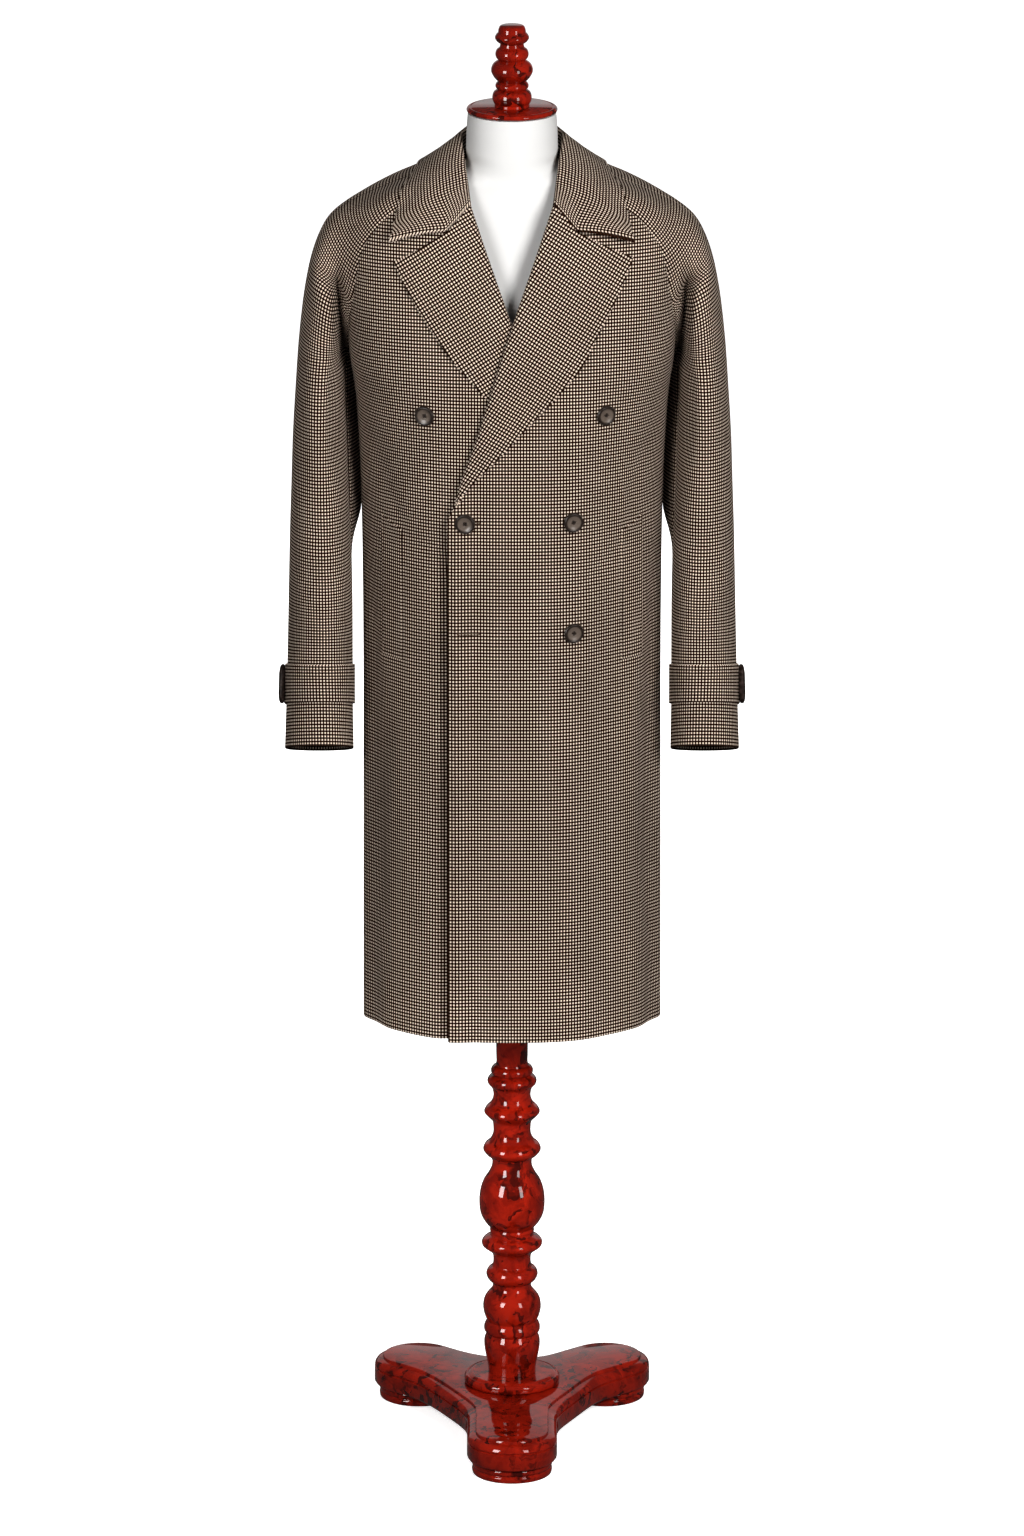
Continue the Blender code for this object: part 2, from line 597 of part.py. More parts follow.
def on_front(side, x, z, out):
    """Point at a height over the cut solid of a front."""
    point, up = front_point(side, x, z), front_normal(side, x, z)
    hit = drop(front_trees[side], point, up, 0.012)
    return (point if hit is None else hit) + up * out


def settle(outer, inner, tree, ups, clear, first):
    """Lift the points of a lying piece, from one column on, until its facets clear what is under them."""
    parts = (0.0, 0.16, 0.33, 0.5, 0.67, 0.84, 1.0)
    rows, cols = inner.shape[:2]
    for sweep in range(5):
        lift = np.zeros((rows, cols))
        for r in range(rows - 1):
            for c in range(first, cols - 1):
                need = 0.0
                for a in parts:
                    for b in parts:
                        mix = ((1 - a) * (1 - b), (1 - a) * b, a * (1 - b), a * b)
                        cells = ((r, c), (r, c + 1), (r + 1, c), (r + 1, c + 1))
                        p = sum(w * inner[q] for w, q in zip(mix, cells))
                        up = unit(sum(w * ups[q] for w, q in zip(mix, cells)))
                        hit = drop(tree, p, up, 0.02)
                        if hit is not None:
                            need = max(need, clear - float(np.dot(p - hit, up)))
                for q in ((r, c), (r, c + 1), (r + 1, c), (r + 1, c + 1)):
                    lift[q] = max(lift[q], need)
        if lift.max() < 1e-6:
            break
        outer, inner = outer + ups * lift[:, :, None], inner + ups * lift[:, :, None]
    return outer, inner


LAPEL_ROWS = 13
LAPEL_ACROSS = (0.06, 0.16, 0.30, 0.48, 0.66, 0.84, 1.0)
LAPEL_ARC = (-5.0, 35.0, 72.0)


def lapel_line(side, z_roll):
    """One section of a lapel, from round the roll to the outer edge: outer and inner points."""
    rim, inner_arc = CLOTH / 2, CLOTH / 2 + 0.0016
    roll = np.array((roll_x(z_roll) + ROLL_INSET, z_roll))
    column = 3 if side > 0 else 5
    edge = np.array((smooth(LAPEL, column, z_roll), smooth(LAPEL, column - 1, z_roll)))
    bend = np.array((GORGE_X, GORGE_Z)) - (roll + (edge - roll) * 0.33)
    top = ease((z_roll - LAPEL_TURN) / (LAPEL[-1, 0] - LAPEL_TURN))
    start, direction, tucked = roll, unit(edge - roll), False
    if side < 0:
        line = [roll + (edge - roll) * u for u in np.linspace(0, 1, 41)]
        seen = [p for p in line if p[0] >= -roll_x(p[1]) - UNDER_TUCK]
        start, tucked = seen[0], roll_x(z_roll) < 0
    near, far = start + direction * 0.0008, start + direction * 0.010
    seat, up = on_front(side, near[0], near[1], 0.0), front_normal(side, near[0], near[1])
    into = unit(on_front(side, far[0], far[1], 0.0) - seat)
    centre = seat + into * (rim - 0.0008) - up * rim
    outer, inner = [], []
    for k, degrees in enumerate(LAPEL_ARC):
        turn = math.radians(degrees)
        for radius, wall_up, line in ((inner_arc + FACED, FACED, outer), (inner_arc, 0.0, inner)):
            p = centre + (up * math.sin(turn) - into * math.cos(turn)) * radius
            if tucked:
                p = seat - into * 0.0015 * (3 - k) + up * (LAY + wall_up)
            line.append(p)
    wide = np.linalg.norm(edge - start)
    for u in LAPEL_ACROSS:
        flat = start + (edge - start) * u
        if not tucked:
            flat = flat + bend * top * max(0.0, 1 - abs(u - 0.33) / (0.33 if u < 0.33 else 0.67))
        bloom = LAPEL_BLOOM * math.sin(math.pi * min(u / 0.7, 1.0)) * min(1, wide / 0.08)
        if side < 0:
            bloom *= ease((flat[0] + roll_x(flat[1])) / 0.05)
        outer.append(on_front(side, flat[0], flat[1], LAY + FACED + bloom))
        inner.append(on_front(side, flat[0], flat[1], LAY + bloom))
    return outer, inner


def lapel_grids(side):
    low, high = LAPEL_LOW if side > 0 else UNDER_LOW, LAPEL[-1, 0] - 0.0015
    lines = [lapel_line(side, low + (high - low) * k / LAPEL_ROWS) for k in range(LAPEL_ROWS + 1)]
    outer, inner = np.array([line[0] for line in lines]), np.array([line[1] for line in lines])
    ups = outer - inner
    ups = ups / np.linalg.norm(ups, axis=2, keepdims=True)
    ups[:, :3] = ups[:, 3:4]
    return settle(outer, inner, front_trees[side], ups, 0.0006, 2)


wall("lapel_left", *lapel_grids(1), CHECK_CLOTH)
wall("lapel_right", *lapel_grids(-1), CHECK_CLOTH)


COLLAR_ACROSS = (0.12, 0.30, 0.50, 0.70, 0.86, 1.0)
COLLAR_STATIONS = 15
COLLAR_LAY = 0.0006
under_collar = surface_of(front_left, front_right, back, *sleeves.values())


def collar_line(place):
    """One section of the collar from the foot of its stand over the roll to its outer edge."""
    side = 1 if place >= 0 else -1
    where = (1 - abs(place)) * (len(COLLAR) - 1)
    beyond = COLLAR[-2] * np.array((-1, 1, 1, -1, 1, 1, 1, 1))
    table = np.column_stack((np.arange(len(COLLAR) + 1), np.vstack((COLLAR, beyond))))
    value = [smooth(table, c, where) for c in range(1, 9)]
    roll, edge, stand, swell = np.array(value[:3]), np.array(value[3:6]), value[6], value[7]
    inward = unit(np.array((-roll[0], -roll[1] - 0.002, 0.0)))
    fall = unit(edge - roll)
    across = unit(np.cross(np.array((smooth(table, 1, where + 0.1) - smooth(table, 1, where - 0.1),
                                     smooth(table, 2, where + 0.1) - smooth(table, 2, where - 0.1),
                                     smooth(table, 3, where + 0.1) - smooth(table, 3, where - 0.1))), fall))
    up = across if across[2] > 0 else -across
    outer = []
    for down in (COLLAR_FOLD + stand, COLLAR_FOLD + stand * 0.5, COLLAR_FOLD):
        outer.append(roll + inward * COLLAR_FOLD + np.array((0, 0, -down)))
    outer.append(roll + inward * COLLAR_FOLD * 0.7 + np.array((0, 0, -COLLAR_FOLD * 0.3)))
    outer.append(roll)
    gorge = np.array((GORGE_X, smooth(table, 2, 0.0) - 0.018, GORGE_Z + 0.0025))
    bend = gorge - (roll + (edge - roll) * 0.30)
    for u in COLLAR_ACROSS:
        p = roll + (edge - roll) * u + up * swell * math.sin(math.pi * u)
        if where < 1:
            p = p + bend * (1 - ease(where)) * max(0.0, 1 - abs(u - 0.30) / (0.30 if u < 0.30 else 0.70))
        outer.append(p)
    mirror = np.array((side, 1, 1))
    points = [p * mirror for p in outer]
    lifted = up * mirror
    for i in range(5, len(points)):
        points[i] = lie_on(under_collar, points[i], lifted, FACED + COLLAR_LAY)
    return points


def collar_grids():
    places = np.linspace(-1, 1, 2 * COLLAR_STATIONS + 1)
    outer = np.array([collar_line(p) for p in places])
    normals = grid_normals(outer)
    if normals[:, 6:, 2].mean() < 0:
        normals = -normals
    return settle(outer, outer - normals * FACED, under_collar, normals, SEAM, 6)


wall("collar", *collar_grids(), CHECK_CLOTH)


def welt_grids(side):
    outer, inner = [], []
    for angle in WELT_COLUMNS:
        part = (angle - WELT_COLUMNS[0]) / (WELT_COLUMNS[-1] - WELT_COLUMNS[0])
        top = WELT_INNER_TOP + (WELT_OUTER_TOP - WELT_INNER_TOP) * part
        places = [(body_base(angle, z)[0], z) for z in (WELT_BOTTOM, 1.07, 1.135, top)]
        outer.append([on_front(side, x, z, LAY + WELT) for x, z in places])
        inner.append([on_front(side, x, z, LAY) for x, z in places])
    return np.array(outer), np.array(inner)


STRAP_END = 0.57          # how far the strap reaches round the back half
STRAP_COLUMNS = [(1, t) for t in SLEEVE_STEPS[::-1] if 0 < t <= STRAP_END] + [(-1, t) for t in SLEEVE_STEPS]


def strap_grids(side):
    heights = (STRAP_LOW, 0.9725, 0.9875, STRAP_HIGH)
    base = np.array([[arm_section(z, face, t) for z in heights] for face, t in STRAP_COLUMNS])
    normals = grid_normals(base)
    if normals[len(base) // 2, 1, 1] > 0:
        normals = -normals
    mirror = np.array((side, 1, 1))
    return (base + normals * (SEAM + STRAP)) * mirror, (base + normals * SEAM) * mirror


def buckle(name, side):
    """Rounded rectangular frame standing on the strap at the outer side of the sleeve."""
    middle = 0.5 * (STRAP_LOW + STRAP_HIGH)
    ridge = arm_section(middle, -1, 0.0)
    slope = (arm_section(STRAP_HIGH, -1, 0.0) - arm_section(STRAP_LOW, -1, 0.0))[0] / (STRAP_HIGH - STRAP_LOW)
    tilt = math.atan(CUFF_TILT * ease((TILT_FROM - middle) / (TILT_FROM - TILT_FULL)))
    corner, half_bar = 0.011, BUCKLE_BAR / 2
    loop = []
    for quarter in range(4):
        for k in range(5):
            turn = math.radians(90 * quarter + 22.5 * k)
            cy = (BUCKLE_WIDE / 2 - corner) * (1 if quarter in (0, 3) else -1)
            cz = (BUCKLE_HIGH / 2 - corner) * (1 if quarter in (0, 1) else -1)
            loop.append((cy, cz, math.cos(turn), math.sin(turn)))
    ring = ((corner, 0.28), (corner, 0.72), (corner - 0.0022, 1.0), (corner - BUCKLE_BAR + 0.0022, 1.0),
            (corner - BUCKLE_BAR, 0.72), (corner - BUCKLE_BAR, 0.28), (corner - BUCKLE_BAR + 0.0022, 0.0),
            (corner - 0.0022, 0.0))
    points, faces = [], []
    for cy, cz, dy, dz in loop:
        for radius, level in ring:
            y, z = cy + dy * radius, cz + dz * radius
            height = SEAM * 2 + STRAP + level * BUCKLE_THICK
            y, z = y * math.cos(tilt) + z * math.sin(tilt), -y * math.sin(tilt) + z * math.cos(tilt)
            points.append((side * (ridge[0] + slope * z + height), ridge[1] + y, middle + z))
    count, around = len(loop), len(ring)
    for i in range(count):
        for k in range(around):
            n, m = (i + 1) % count, (k + 1) % around
            faces.append((i * around + k, n * around + k, n * around + m, i * around + m))
    return add_object(name, points, faces, DARK_LEATHER)


for label, side in (("left", 1), ("right", -1)):
    wall("pocket_welt_" + label, *welt_grids(side), CHECK_CLOTH)
    wall("cuff_strap_" + label, *strap_grids(side), CHECK_CLOTH)
    buckle("cuff_buckle_" + label, side)


def button(number, x, z):
    side = 1 if x > LAP_X else -1
    seat, normal = on_front(side, x * side, z, LAY), front_normal(side, x * side, z)
    across = unit(np.cross(np.array((0.0, 0.0, 1.0)), normal))
    upward = np.cross(normal, across)
    lathe("button_" + str(number), BUTTON, DARK_HORN, 16,
          lambda p: seat + across * p[0] + upward * p[1] + normal * p[2])


for number, (x, z) in enumerate(BUTTONS, 1):
    button(number, x, z)

# Dress form and stand
rings_solid("dress_form", FORM, WHITE_FORM, 24)
lathe("neck_cap", NECK_CAP, RED_LACQUER, 24)
lathe("finial", FINIAL, RED_LACQUER, 16)
lathe("post", POST, RED_LACQUER, 16)
lathe("base_disc", BASE_DISC, RED_LACQUER, 24)


def blend(a, b, width):
    h = max(width - abs(a - b), 0.0) / width
    return min(a, b) - h * h * width / 4


def base_distance(x, y):
    """Distance outside the outline of the three-legged base, from the post axis."""
    total = 1.0
    for name, ex, ey in LEGS:
        length = math.hypot(ex, ey)
        along = min(max((x * ex + y * ey) / length**2, 0.0), 1.0)
        total = blend(total, math.hypot(x - ex * along, y - ey * along) - LEG_HALF, LEG_BLEND)
    return total


def base_outline(steps, inset):
    loop = []
    for k in range(steps):
        turn = 2 * math.pi * (k + 0.5) / steps
        low, high = 0.01, 0.30
        for halving in range(40):
            mid = 0.5 * (low + high)
            if base_distance(mid * math.cos(turn), mid * math.sin(turn)) < -inset:
                low = mid
            else:
                high = mid
        loop.append((low * math.cos(turn), low * math.sin(turn)))
    return loop


def stand_base():
    steps, points, faces = 54, [], []
    for z, inset in BASE_EDGE:
        points += [(x, y, z) for x, y in base_outline(steps, inset)]
    for r in range(len(BASE_EDGE) - 1):
        for k in range(steps):
            n = (k + 1) % steps
            faces.append((r * steps + k, r * steps + n, (r + 1) * steps + n, (r + 1) * steps + k))
    faces.append(tuple(range(steps)))
    faces.append(tuple((len(BASE_EDGE) - 1) * steps + k for k in range(steps)))
    return add_object("stand_base", points, faces, RED_LACQUER)


stand_base()
PAD_ROUND = 0.002
PAD = ((PAD_RADIUS - PAD_ROUND, 0.0), (PAD_RADIUS, PAD_ROUND), (PAD_RADIUS, PAD_TOP - PAD_ROUND),
       (PAD_RADIUS - PAD_ROUND, PAD_TOP))
for name, ex, ey in LEGS:
    lathe("foot_pad_" + name, PAD, RED_LACQUER, 24, lambda p: p + np.array((ex, ey, 0.0)))
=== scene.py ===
"""Looks of a double-breasted raglan overcoat on a dress form stand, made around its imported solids.

Lengths are in metres and +Z is up. The coat faces -Y, and +X is the wearer's left. Points are worked
out from the axis of the stand's post and are moved to the frame as each mesh is made.
"""

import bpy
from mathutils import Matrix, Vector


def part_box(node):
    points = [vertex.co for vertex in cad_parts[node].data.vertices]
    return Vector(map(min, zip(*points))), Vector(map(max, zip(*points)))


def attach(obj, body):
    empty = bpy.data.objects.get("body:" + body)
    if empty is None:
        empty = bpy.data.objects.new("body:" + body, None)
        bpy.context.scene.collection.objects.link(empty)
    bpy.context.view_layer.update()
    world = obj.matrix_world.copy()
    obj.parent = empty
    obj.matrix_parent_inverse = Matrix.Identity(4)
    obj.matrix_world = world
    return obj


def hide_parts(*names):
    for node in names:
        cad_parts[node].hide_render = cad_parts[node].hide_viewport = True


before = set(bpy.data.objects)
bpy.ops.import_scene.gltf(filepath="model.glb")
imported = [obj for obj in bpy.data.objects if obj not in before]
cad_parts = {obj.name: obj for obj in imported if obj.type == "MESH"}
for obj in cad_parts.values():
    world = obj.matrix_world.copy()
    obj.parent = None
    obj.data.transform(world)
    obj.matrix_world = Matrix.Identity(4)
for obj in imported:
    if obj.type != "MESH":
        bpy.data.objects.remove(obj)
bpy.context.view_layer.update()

import math

import bpy
import numpy as np
from bpy.props import FloatProperty, FloatVectorProperty, PointerProperty
from mathutils import Vector
from mathutils.bvhtree import BVHTree

bl_info = {
    "name": "Checked overcoat on a dress form",
    "version": (1, 0, 0),
    "blender": (4, 5, 0),
    "location": "View3D > Sidebar > Overcoat",
    "description": "Cloth, buttons, dress form and stand of an overcoat, made around its solids",
    "category": "Mesh",
}


# Sizes of the coat

def middle_of(node):
    low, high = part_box(node)
    return (low + high) / 2


POST_AXIS = np.array((0.0, middle_of("post").y, 0.0))
HEM_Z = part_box("front_left")[0].z
PLAIN_TOP = 1.20          # below this height the rows of the panels are level
CLOTH = 0.0024            # wall of body and sleeves
FACED = 0.0028            # wall of collar and lapels (two layers)
HALF_SEAM = 0.00016
LAP = CLOTH + 0.0007      # the upper front stands this far outside the under front
LAP_EDGE = 17.3           # front edges, degrees from the middle of the front
LAP_FADE = 34.0           # where the upper front is back on the body form
LAP_STAND = 0.0075        # the edge of the upper front stands off by this much more
LAP_STAND_FADE = 10.0     # within so many degrees
LAP_DIP = 0.0075          # the under front sinks by this much where it passes under the edge
LAP_DIP_FROM, LAP_DIP_FULL = 24.5, 16.5
DIP_TOP, DIP_FADE = 1.19, 0.06   # it sinks only below this height
FRONT_POWER = 2.7
BACK_POWER = 2.2
ROLL_INSET = 0.0047       # the cloth of a front stops this far inside the lapel roll
ROLL_LIFT = 0.0042        # the upper front rides over the under lapel
ROLL_REACH = 0.055        # within this distance of its roll, between these heights
ROLL_LOW, ROLL_LOW_FADE = 1.24, 0.09
ROLL_HIGH, ROLL_HIGH_FADE = 1.585, 0.06
LAY = 0.0007              # clearance of what lies on a panel
SEAM_DIP = 0.0011         # depth of the groove along a seam
SEAM_WIDE = 0.0024        # its half width
SEAM_GAP = 0.0004         # panels stop this far below a raglan seam
SEAM_SLANT = 0.75         # distance from a raglan seam for each unit of height below it
CLOSE_ROWS = (10, 9.93, 9.84, 9.7)   # rows of a raglan seam close to the underarm
NORMAL_TURN, NORMAL_RISE = 0.8, 0.004   # steps that find the normals of the body: degrees, height
FRONT_CREASE_TOP, FRONT_CREASE_FADE = 1.45, 0.10   # creases end at these heights
BACK_CREASE_TOP, BACK_CREASE_FADE = 1.55, 0.15
CREASE_BOW, CREASE_SPREAD = 0.12, 0.35
CREASE_SEAM_FADE = 0.02   # creases of a sleeve end this close to its seams
NECK_DROP = 0.011         # a front's neck ends this far below the top of the roll
ROLL_END_Z = 1.250        # the cut along the roll ends at this height
EDGE_RISE = 0.006         # the front edge ends this far above the break
EDGE_RUN = 0.011          # length of the cut from the roll to the front edge

# Body form: height, half width, depth to the front, depth to the back, fullness of the front's sides
BODY = np.array([
    (0.5415, 0.1870, 0.1120, 0.172, 1.15),
    (0.7000, 0.1865, 0.1160, 0.171, 1.15),
    (0.8500, 0.1860, 0.1205, 0.167, 1.15),
    (1.0000, 0.1855, 0.1260, 0.160, 1.15),
    (1.1000, 0.1858, 0.1300, 0.154, 1.20),
    (1.2000, 0.1870, 0.1330, 0.150, 1.32),
    (1.3000, 0.1905, 0.1370, 0.148, 1.60),
    (1.3600, 0.1950, 0.1380, 0.149, 1.95),
    (1.4050, 0.2015, 0.1375, 0.150, 2.40),
    (1.4500, 0.2040, 0.1340, 0.150, 2.70),
    (1.5000, 0.2060, 0.1270, 0.147, 2.70),
    (1.5500, 0.2050, 0.1135, 0.138, 2.70),
    (1.6000, 0.1950, 0.0890, 0.118, 2.70),
    (1.6300, 0.1830, 0.0690, 0.103, 2.70),
    (1.6600, 0.1650, 0.0500, 0.088, 2.70),
])

# Soft vertical folds of the body: angle, half width (degrees), depth outwards, top, bottom
BODY_FOLDS = (
    (52.0, 9.0, 0.0022, 1.22, 0.50),
    (66.0, 9.0, -0.0026, 1.25, 0.50),
    (-50.0, 9.0, 0.0020, 1.20, 0.50),
    (-64.0, 9.0, -0.0026, 1.25, 0.50),
    (122.0, 14.0, 0.0040, 1.10, 0.45),
    (145.0, 13.0, -0.0040, 1.15, 0.45),
    (-124.0, 14.0, 0.0040, 1.08, 0.45),
    (-148.0, 13.0, -0.0038, 1.15, 0.45),
    (180.0, 13.0, 0.0030, 1.00, 0.45),
)

FOLD_TOP_FADE, FOLD_LOW_FADE = 0.22, 0.05

# Raglan seams from the neck to the underarm: angle on the body form, height
FRONT_SEAM = np.array([
    (18.5, 1.6120), (31.5, 1.6075), (42.7, 1.5960), (52.0, 1.5740), (59.0, 1.5530),
    (63.8, 1.5250), (68.4, 1.4960), (73.9, 1.4700), (80.0, 1.4430), (85.5, 1.4200), (90.0, 1.4050),
])
BACK_SEAM = np.array([
    (157.0, 1.6410), (150.0, 1.6180), (143.0, 1.6000), (136.0, 1.5800), (129.5, 1.5530),
    (123.0, 1.5250), (117.0, 1.4990), (110.5, 1.4730), (103.5, 1.4470), (96.5, 1.4220), (90.0, 1.4050),
])
BACK_NECK = ((163.0, 1.6430), (171.5, 1.6450), (180.0, 1.6455))
LAST_SEAM = len(FRONT_SEAM) - 1

# Overarm ridge beside each seam row: x, y, z, front and back handle at the ridge,
# front and back handle at the seam, how far the seam side has turned under
YOKE = np.array([
    (0.0830, 0.0120, 1.6450, 0.030, 0.030, 0.028, 0.014, 0.00),
    (0.1160, 0.0100, 1.6285, 0.032, 0.034, 0.030, 0.022, 0.00),
    (0.1500, 0.0090, 1.6155, 0.034, 0.038, 0.032, 0.034, 0.00),
    (0.1800, 0.0080, 1.6025, 0.036, 0.042, 0.034, 0.044, 0.02),
    (0.2050, 0.0070, 1.5895, 0.042, 0.048, 0.036, 0.048, 0.06),
    (0.2260, 0.0055, 1.5720, 0.050, 0.056, 0.040, 0.052, 0.14),
    (0.2390, 0.0040, 1.5490, 0.060, 0.064, 0.046, 0.058, 0.28),
    (0.2490, 0.0030, 1.5190, 0.070, 0.074, 0.056, 0.066, 0.46),
    (0.2560, 0.0015, 1.4850, 0.080, 0.084, 0.070, 0.076, 0.66),
    (0.2610, 0.0000, 1.4480, 0.089, 0.092, 0.084, 0.086, 0.86),
    (0.2650, -0.0020, 1.4080, 0.096, 0.098, 0.096, 0.096, 1.00),
])
# Arm below the underarm: height, overarm x, underarm x, middle y, front depth, back depth
ARM = np.array([
    (1.4080, 0.2650, 0.2040, -0.0020, 0.0720, 0.0735),
    (1.3720, 0.2673, 0.2060, -0.0030, 0.0715, 0.0735),
    (1.3030, 0.2716, 0.2045, -0.0050, 0.0700, 0.0720),
    (1.2400, 0.2738, 0.2026, -0.0075, 0.0685, 0.0705),
    (1.1860, 0.2757, 0.2005, -0.0100, 0.0665, 0.0685),
    (1.1000, 0.2778, 0.1985, -0.0135, 0.0635, 0.0650),
    (1.0180, 0.2797, 0.1982, -0.0170, 0.0600, 0.0610),
    (0.9500, 0.2817, 0.1982, -0.0200, 0.0565, 0.0570),
    (0.8980, 0.2835, 0.1975, -0.0220, 0.0540, 0.0540),
])
CUFF_Z, ARM_TOP = 0.8980, 1.3960
LEAN_IN = 0.056           # the back of a sleeve leans in to the body, between these heights
LEAN_TOP, LEAN_LOW = 1.412, 1.135
LEAN_TOP_FADE, LEAN_LOW_FADE = 0.030, 0.07
OUTER_ROUND, INNER_ROUND = 0.88, 1.16   # the front of a sleeve is fuller on the side of the body
# Deep fold of a sleeve above the underarm: height, x
ARMHOLE_FOLD = np.array([(1.396, 0.2065), (1.4425, 0.2110), (1.494, 0.2155), (1.540, 0.2180)])
ARMHOLE_DEEP, ARMHOLE_WIDE, ARMHOLE_TOP = 0.038, 0.0062, 1.535
ARMHOLE_TOP_FADE, ARMHOLE_LOW_FADE, ARMHOLE_BELOW, ARMHOLE_END = 0.07, 0.02, 0.012, 0.05
CUFF_TILT = 0.34          # the cuff rises to the front by this slope
TILT_FROM, TILT_FULL = 1.16, 0.93
# Soft folds of the front of a sleeve: 0 to 1 from overarm to underarm, half width,
# depth outwards, top height, bottom height
SLEEVE_FOLDS = (
    (0.42, 0.20, 0.0025, 1.54, 1.26),
    (0.72, 0.20, -0.0040, 1.50, 1.20),
)
SLEEVE_FOLD_TOP, SLEEVE_FOLD_LOW, SLEEVE_FOLD_END = 0.08, 0.10, 0.12   # their fades
OVERARM_GROOVE = 0.8      # the overarm seam is shallower by this factor

# Lapels: height and x of the roll, then height and x of the outer edge of the upper lapel
# and of the under lapel (measured on its own side)
LAPEL = np.array([
    (1.2420, -0.0705, 1.2480, -0.0640, 1.2600, -0.0600),
    (1.2826, -0.0590, 1.2743, -0.0437, 1.2900, -0.0380),
    (1.3285, -0.0435, 1.3092, -0.0110, 1.3250, -0.0100),
    (1.3750, -0.0295, 1.3448, 0.0210, 1.3560, 0.0130),
    (1.4219, -0.0155, 1.3799, 0.0534, 1.3880, 0.0400),
    (1.4680, -0.0002, 1.4169, 0.0839, 1.4230, 0.0710),
    (1.5136, 0.0160, 1.4593, 0.1058, 1.4610, 0.0980),
    (1.5596, 0.0326, 1.5015, 0.1283, 1.4990, 0.1220),
    (1.6053, 0.0491, 1.5455, 0.1470, 1.5402, 0.1436),
])
GORGE_X, GORGE_Z = 0.0800, 1.5745
BREAK_Z = 1.2150
LAPEL_LOW, UNDER_LAPEL_LOW, LAPEL_TOP_GAP = 1.2460, 1.4040, 0.0015
GORGE_FROM = 1.53         # above this height the lapel bends to the gorge
GORGE_SHARE, GORGE_REST = 0.33, 0.67   # place of the gorge between roll and edge
LAPEL_BLOOM = 0.0030
SEAT_IN, ROLL_SPACE, TUCK_STEP = 0.0008, 0.0016, 0.0006
LAPEL_GRAIN = 33.0        # lean of the lapels' weave, degrees
UNDER_TUCK = 0.014        # the under lapel ends this far behind the upper front

# Collar, front end to middle back: roll x, y, z, outer edge x, y, z, stand height, swell of the fall
COLLAR = np.array([
    (0.0520, -0.0860, 1.6085, 0.1505, -0.1060, 1.5675, 0.003, 0.010),
    (0.0562, -0.0660, 1.6315, 0.1440, -0.0860, 1.5920, 0.005, 0.010),
    (0.0612, -0.0350, 1.6545, 0.1345, -0.0560, 1.6140, 0.008, 0.006),
    (0.0655, 0.0060, 1.6730, 0.1200, 0.0000, 1.6340, 0.018, 0.002),
    (0.0610, 0.0430, 1.6730, 0.1080, 0.0560, 1.6230, 0.018, 0.003),
    (0.0420, 0.0670, 1.6810, 0.0700, 0.1050, 1.6160, 0.026, 0.008),
    (0.0000, 0.0760, 1.6840, 0.0000, 0.1235, 1.6050, 0.029, 0.010),
])
COLLAR_FOLD = 0.0045      # half thickness of the folded collar at its roll
COLLAR_LAY = 0.0006
COLLAR_STEPS = 141
COLLAR_SHARE, COLLAR_REST = 0.30, 0.70   # place of the gorge between roll and edge
GORGE_AHEAD, GORGE_ABOVE = 0.018, 0.0025

# Pocket welts: angles of the inner and outer edge, heights
WELT_INNER, WELT_OUTER = 40.8, 54.0
WELT_INNER_TOP, WELT_OUTER_TOP, WELT_BOTTOM = 1.1970, 1.2100, 1.0290
WELT, WELT_LAY = 0.0013, 0.0002

STRAP_LOW, STRAP_HIGH = 0.9550, 1.0050
STRAP, STRAP_GAP = 0.0022, 0.0004
STRAP_CLEAR, STRAP_FADE = 0.01, 0.05   # creases end this far above the strap
STRAP_END = 0.57          # how far the strap reaches round the back half
BUCKLE_HIGH, BUCKLE_WIDE, BUCKLE_THICK, BUCKLE_BAR = 0.0490, 0.0360, 0.0088, 0.0092
BUCKLE_BEND = 5.4         # the buckle follows the round of the sleeve: metres in per square metre across
BUCKLE_TAPER = 0.42       # its ends are thinner than its middle by this share

# Front buttons: x, z, turn in degrees, given so that no two sit alike
BUTTONS = ((-0.1065, 1.3520, 12), (0.1145, 1.3520, 40), (-0.0563, 1.2180, 3), (0.0742, 1.2180, 66),
           (0.0744, 1.0750, 31))
# Button profile from the middle out: radius, height above the cloth
BUTTON = ((0.0, 0.0031), (0.0030, 0.0031), (0.0058, 0.0033), (0.0080, 0.0039), (0.0096, 0.0046),
          (0.0110, 0.0047), (0.0121, 0.0038), (0.0125, 0.0026), (0.0119, 0.0012), (0.0095, 0.0))
BUTTON_HOLES = 0.0022     # the four holes lie this far from the middle
BUTTON_HOLE, HOLE_DEEP, HOLE_RINGS = 0.0009, 0.0021, 21
# Buttonholes in the upper front: x and z of the inner end, length
BUTTONHOLES = ((-0.0655, 1.2180, 0.026), (-0.0655, 1.0750, 0.026))

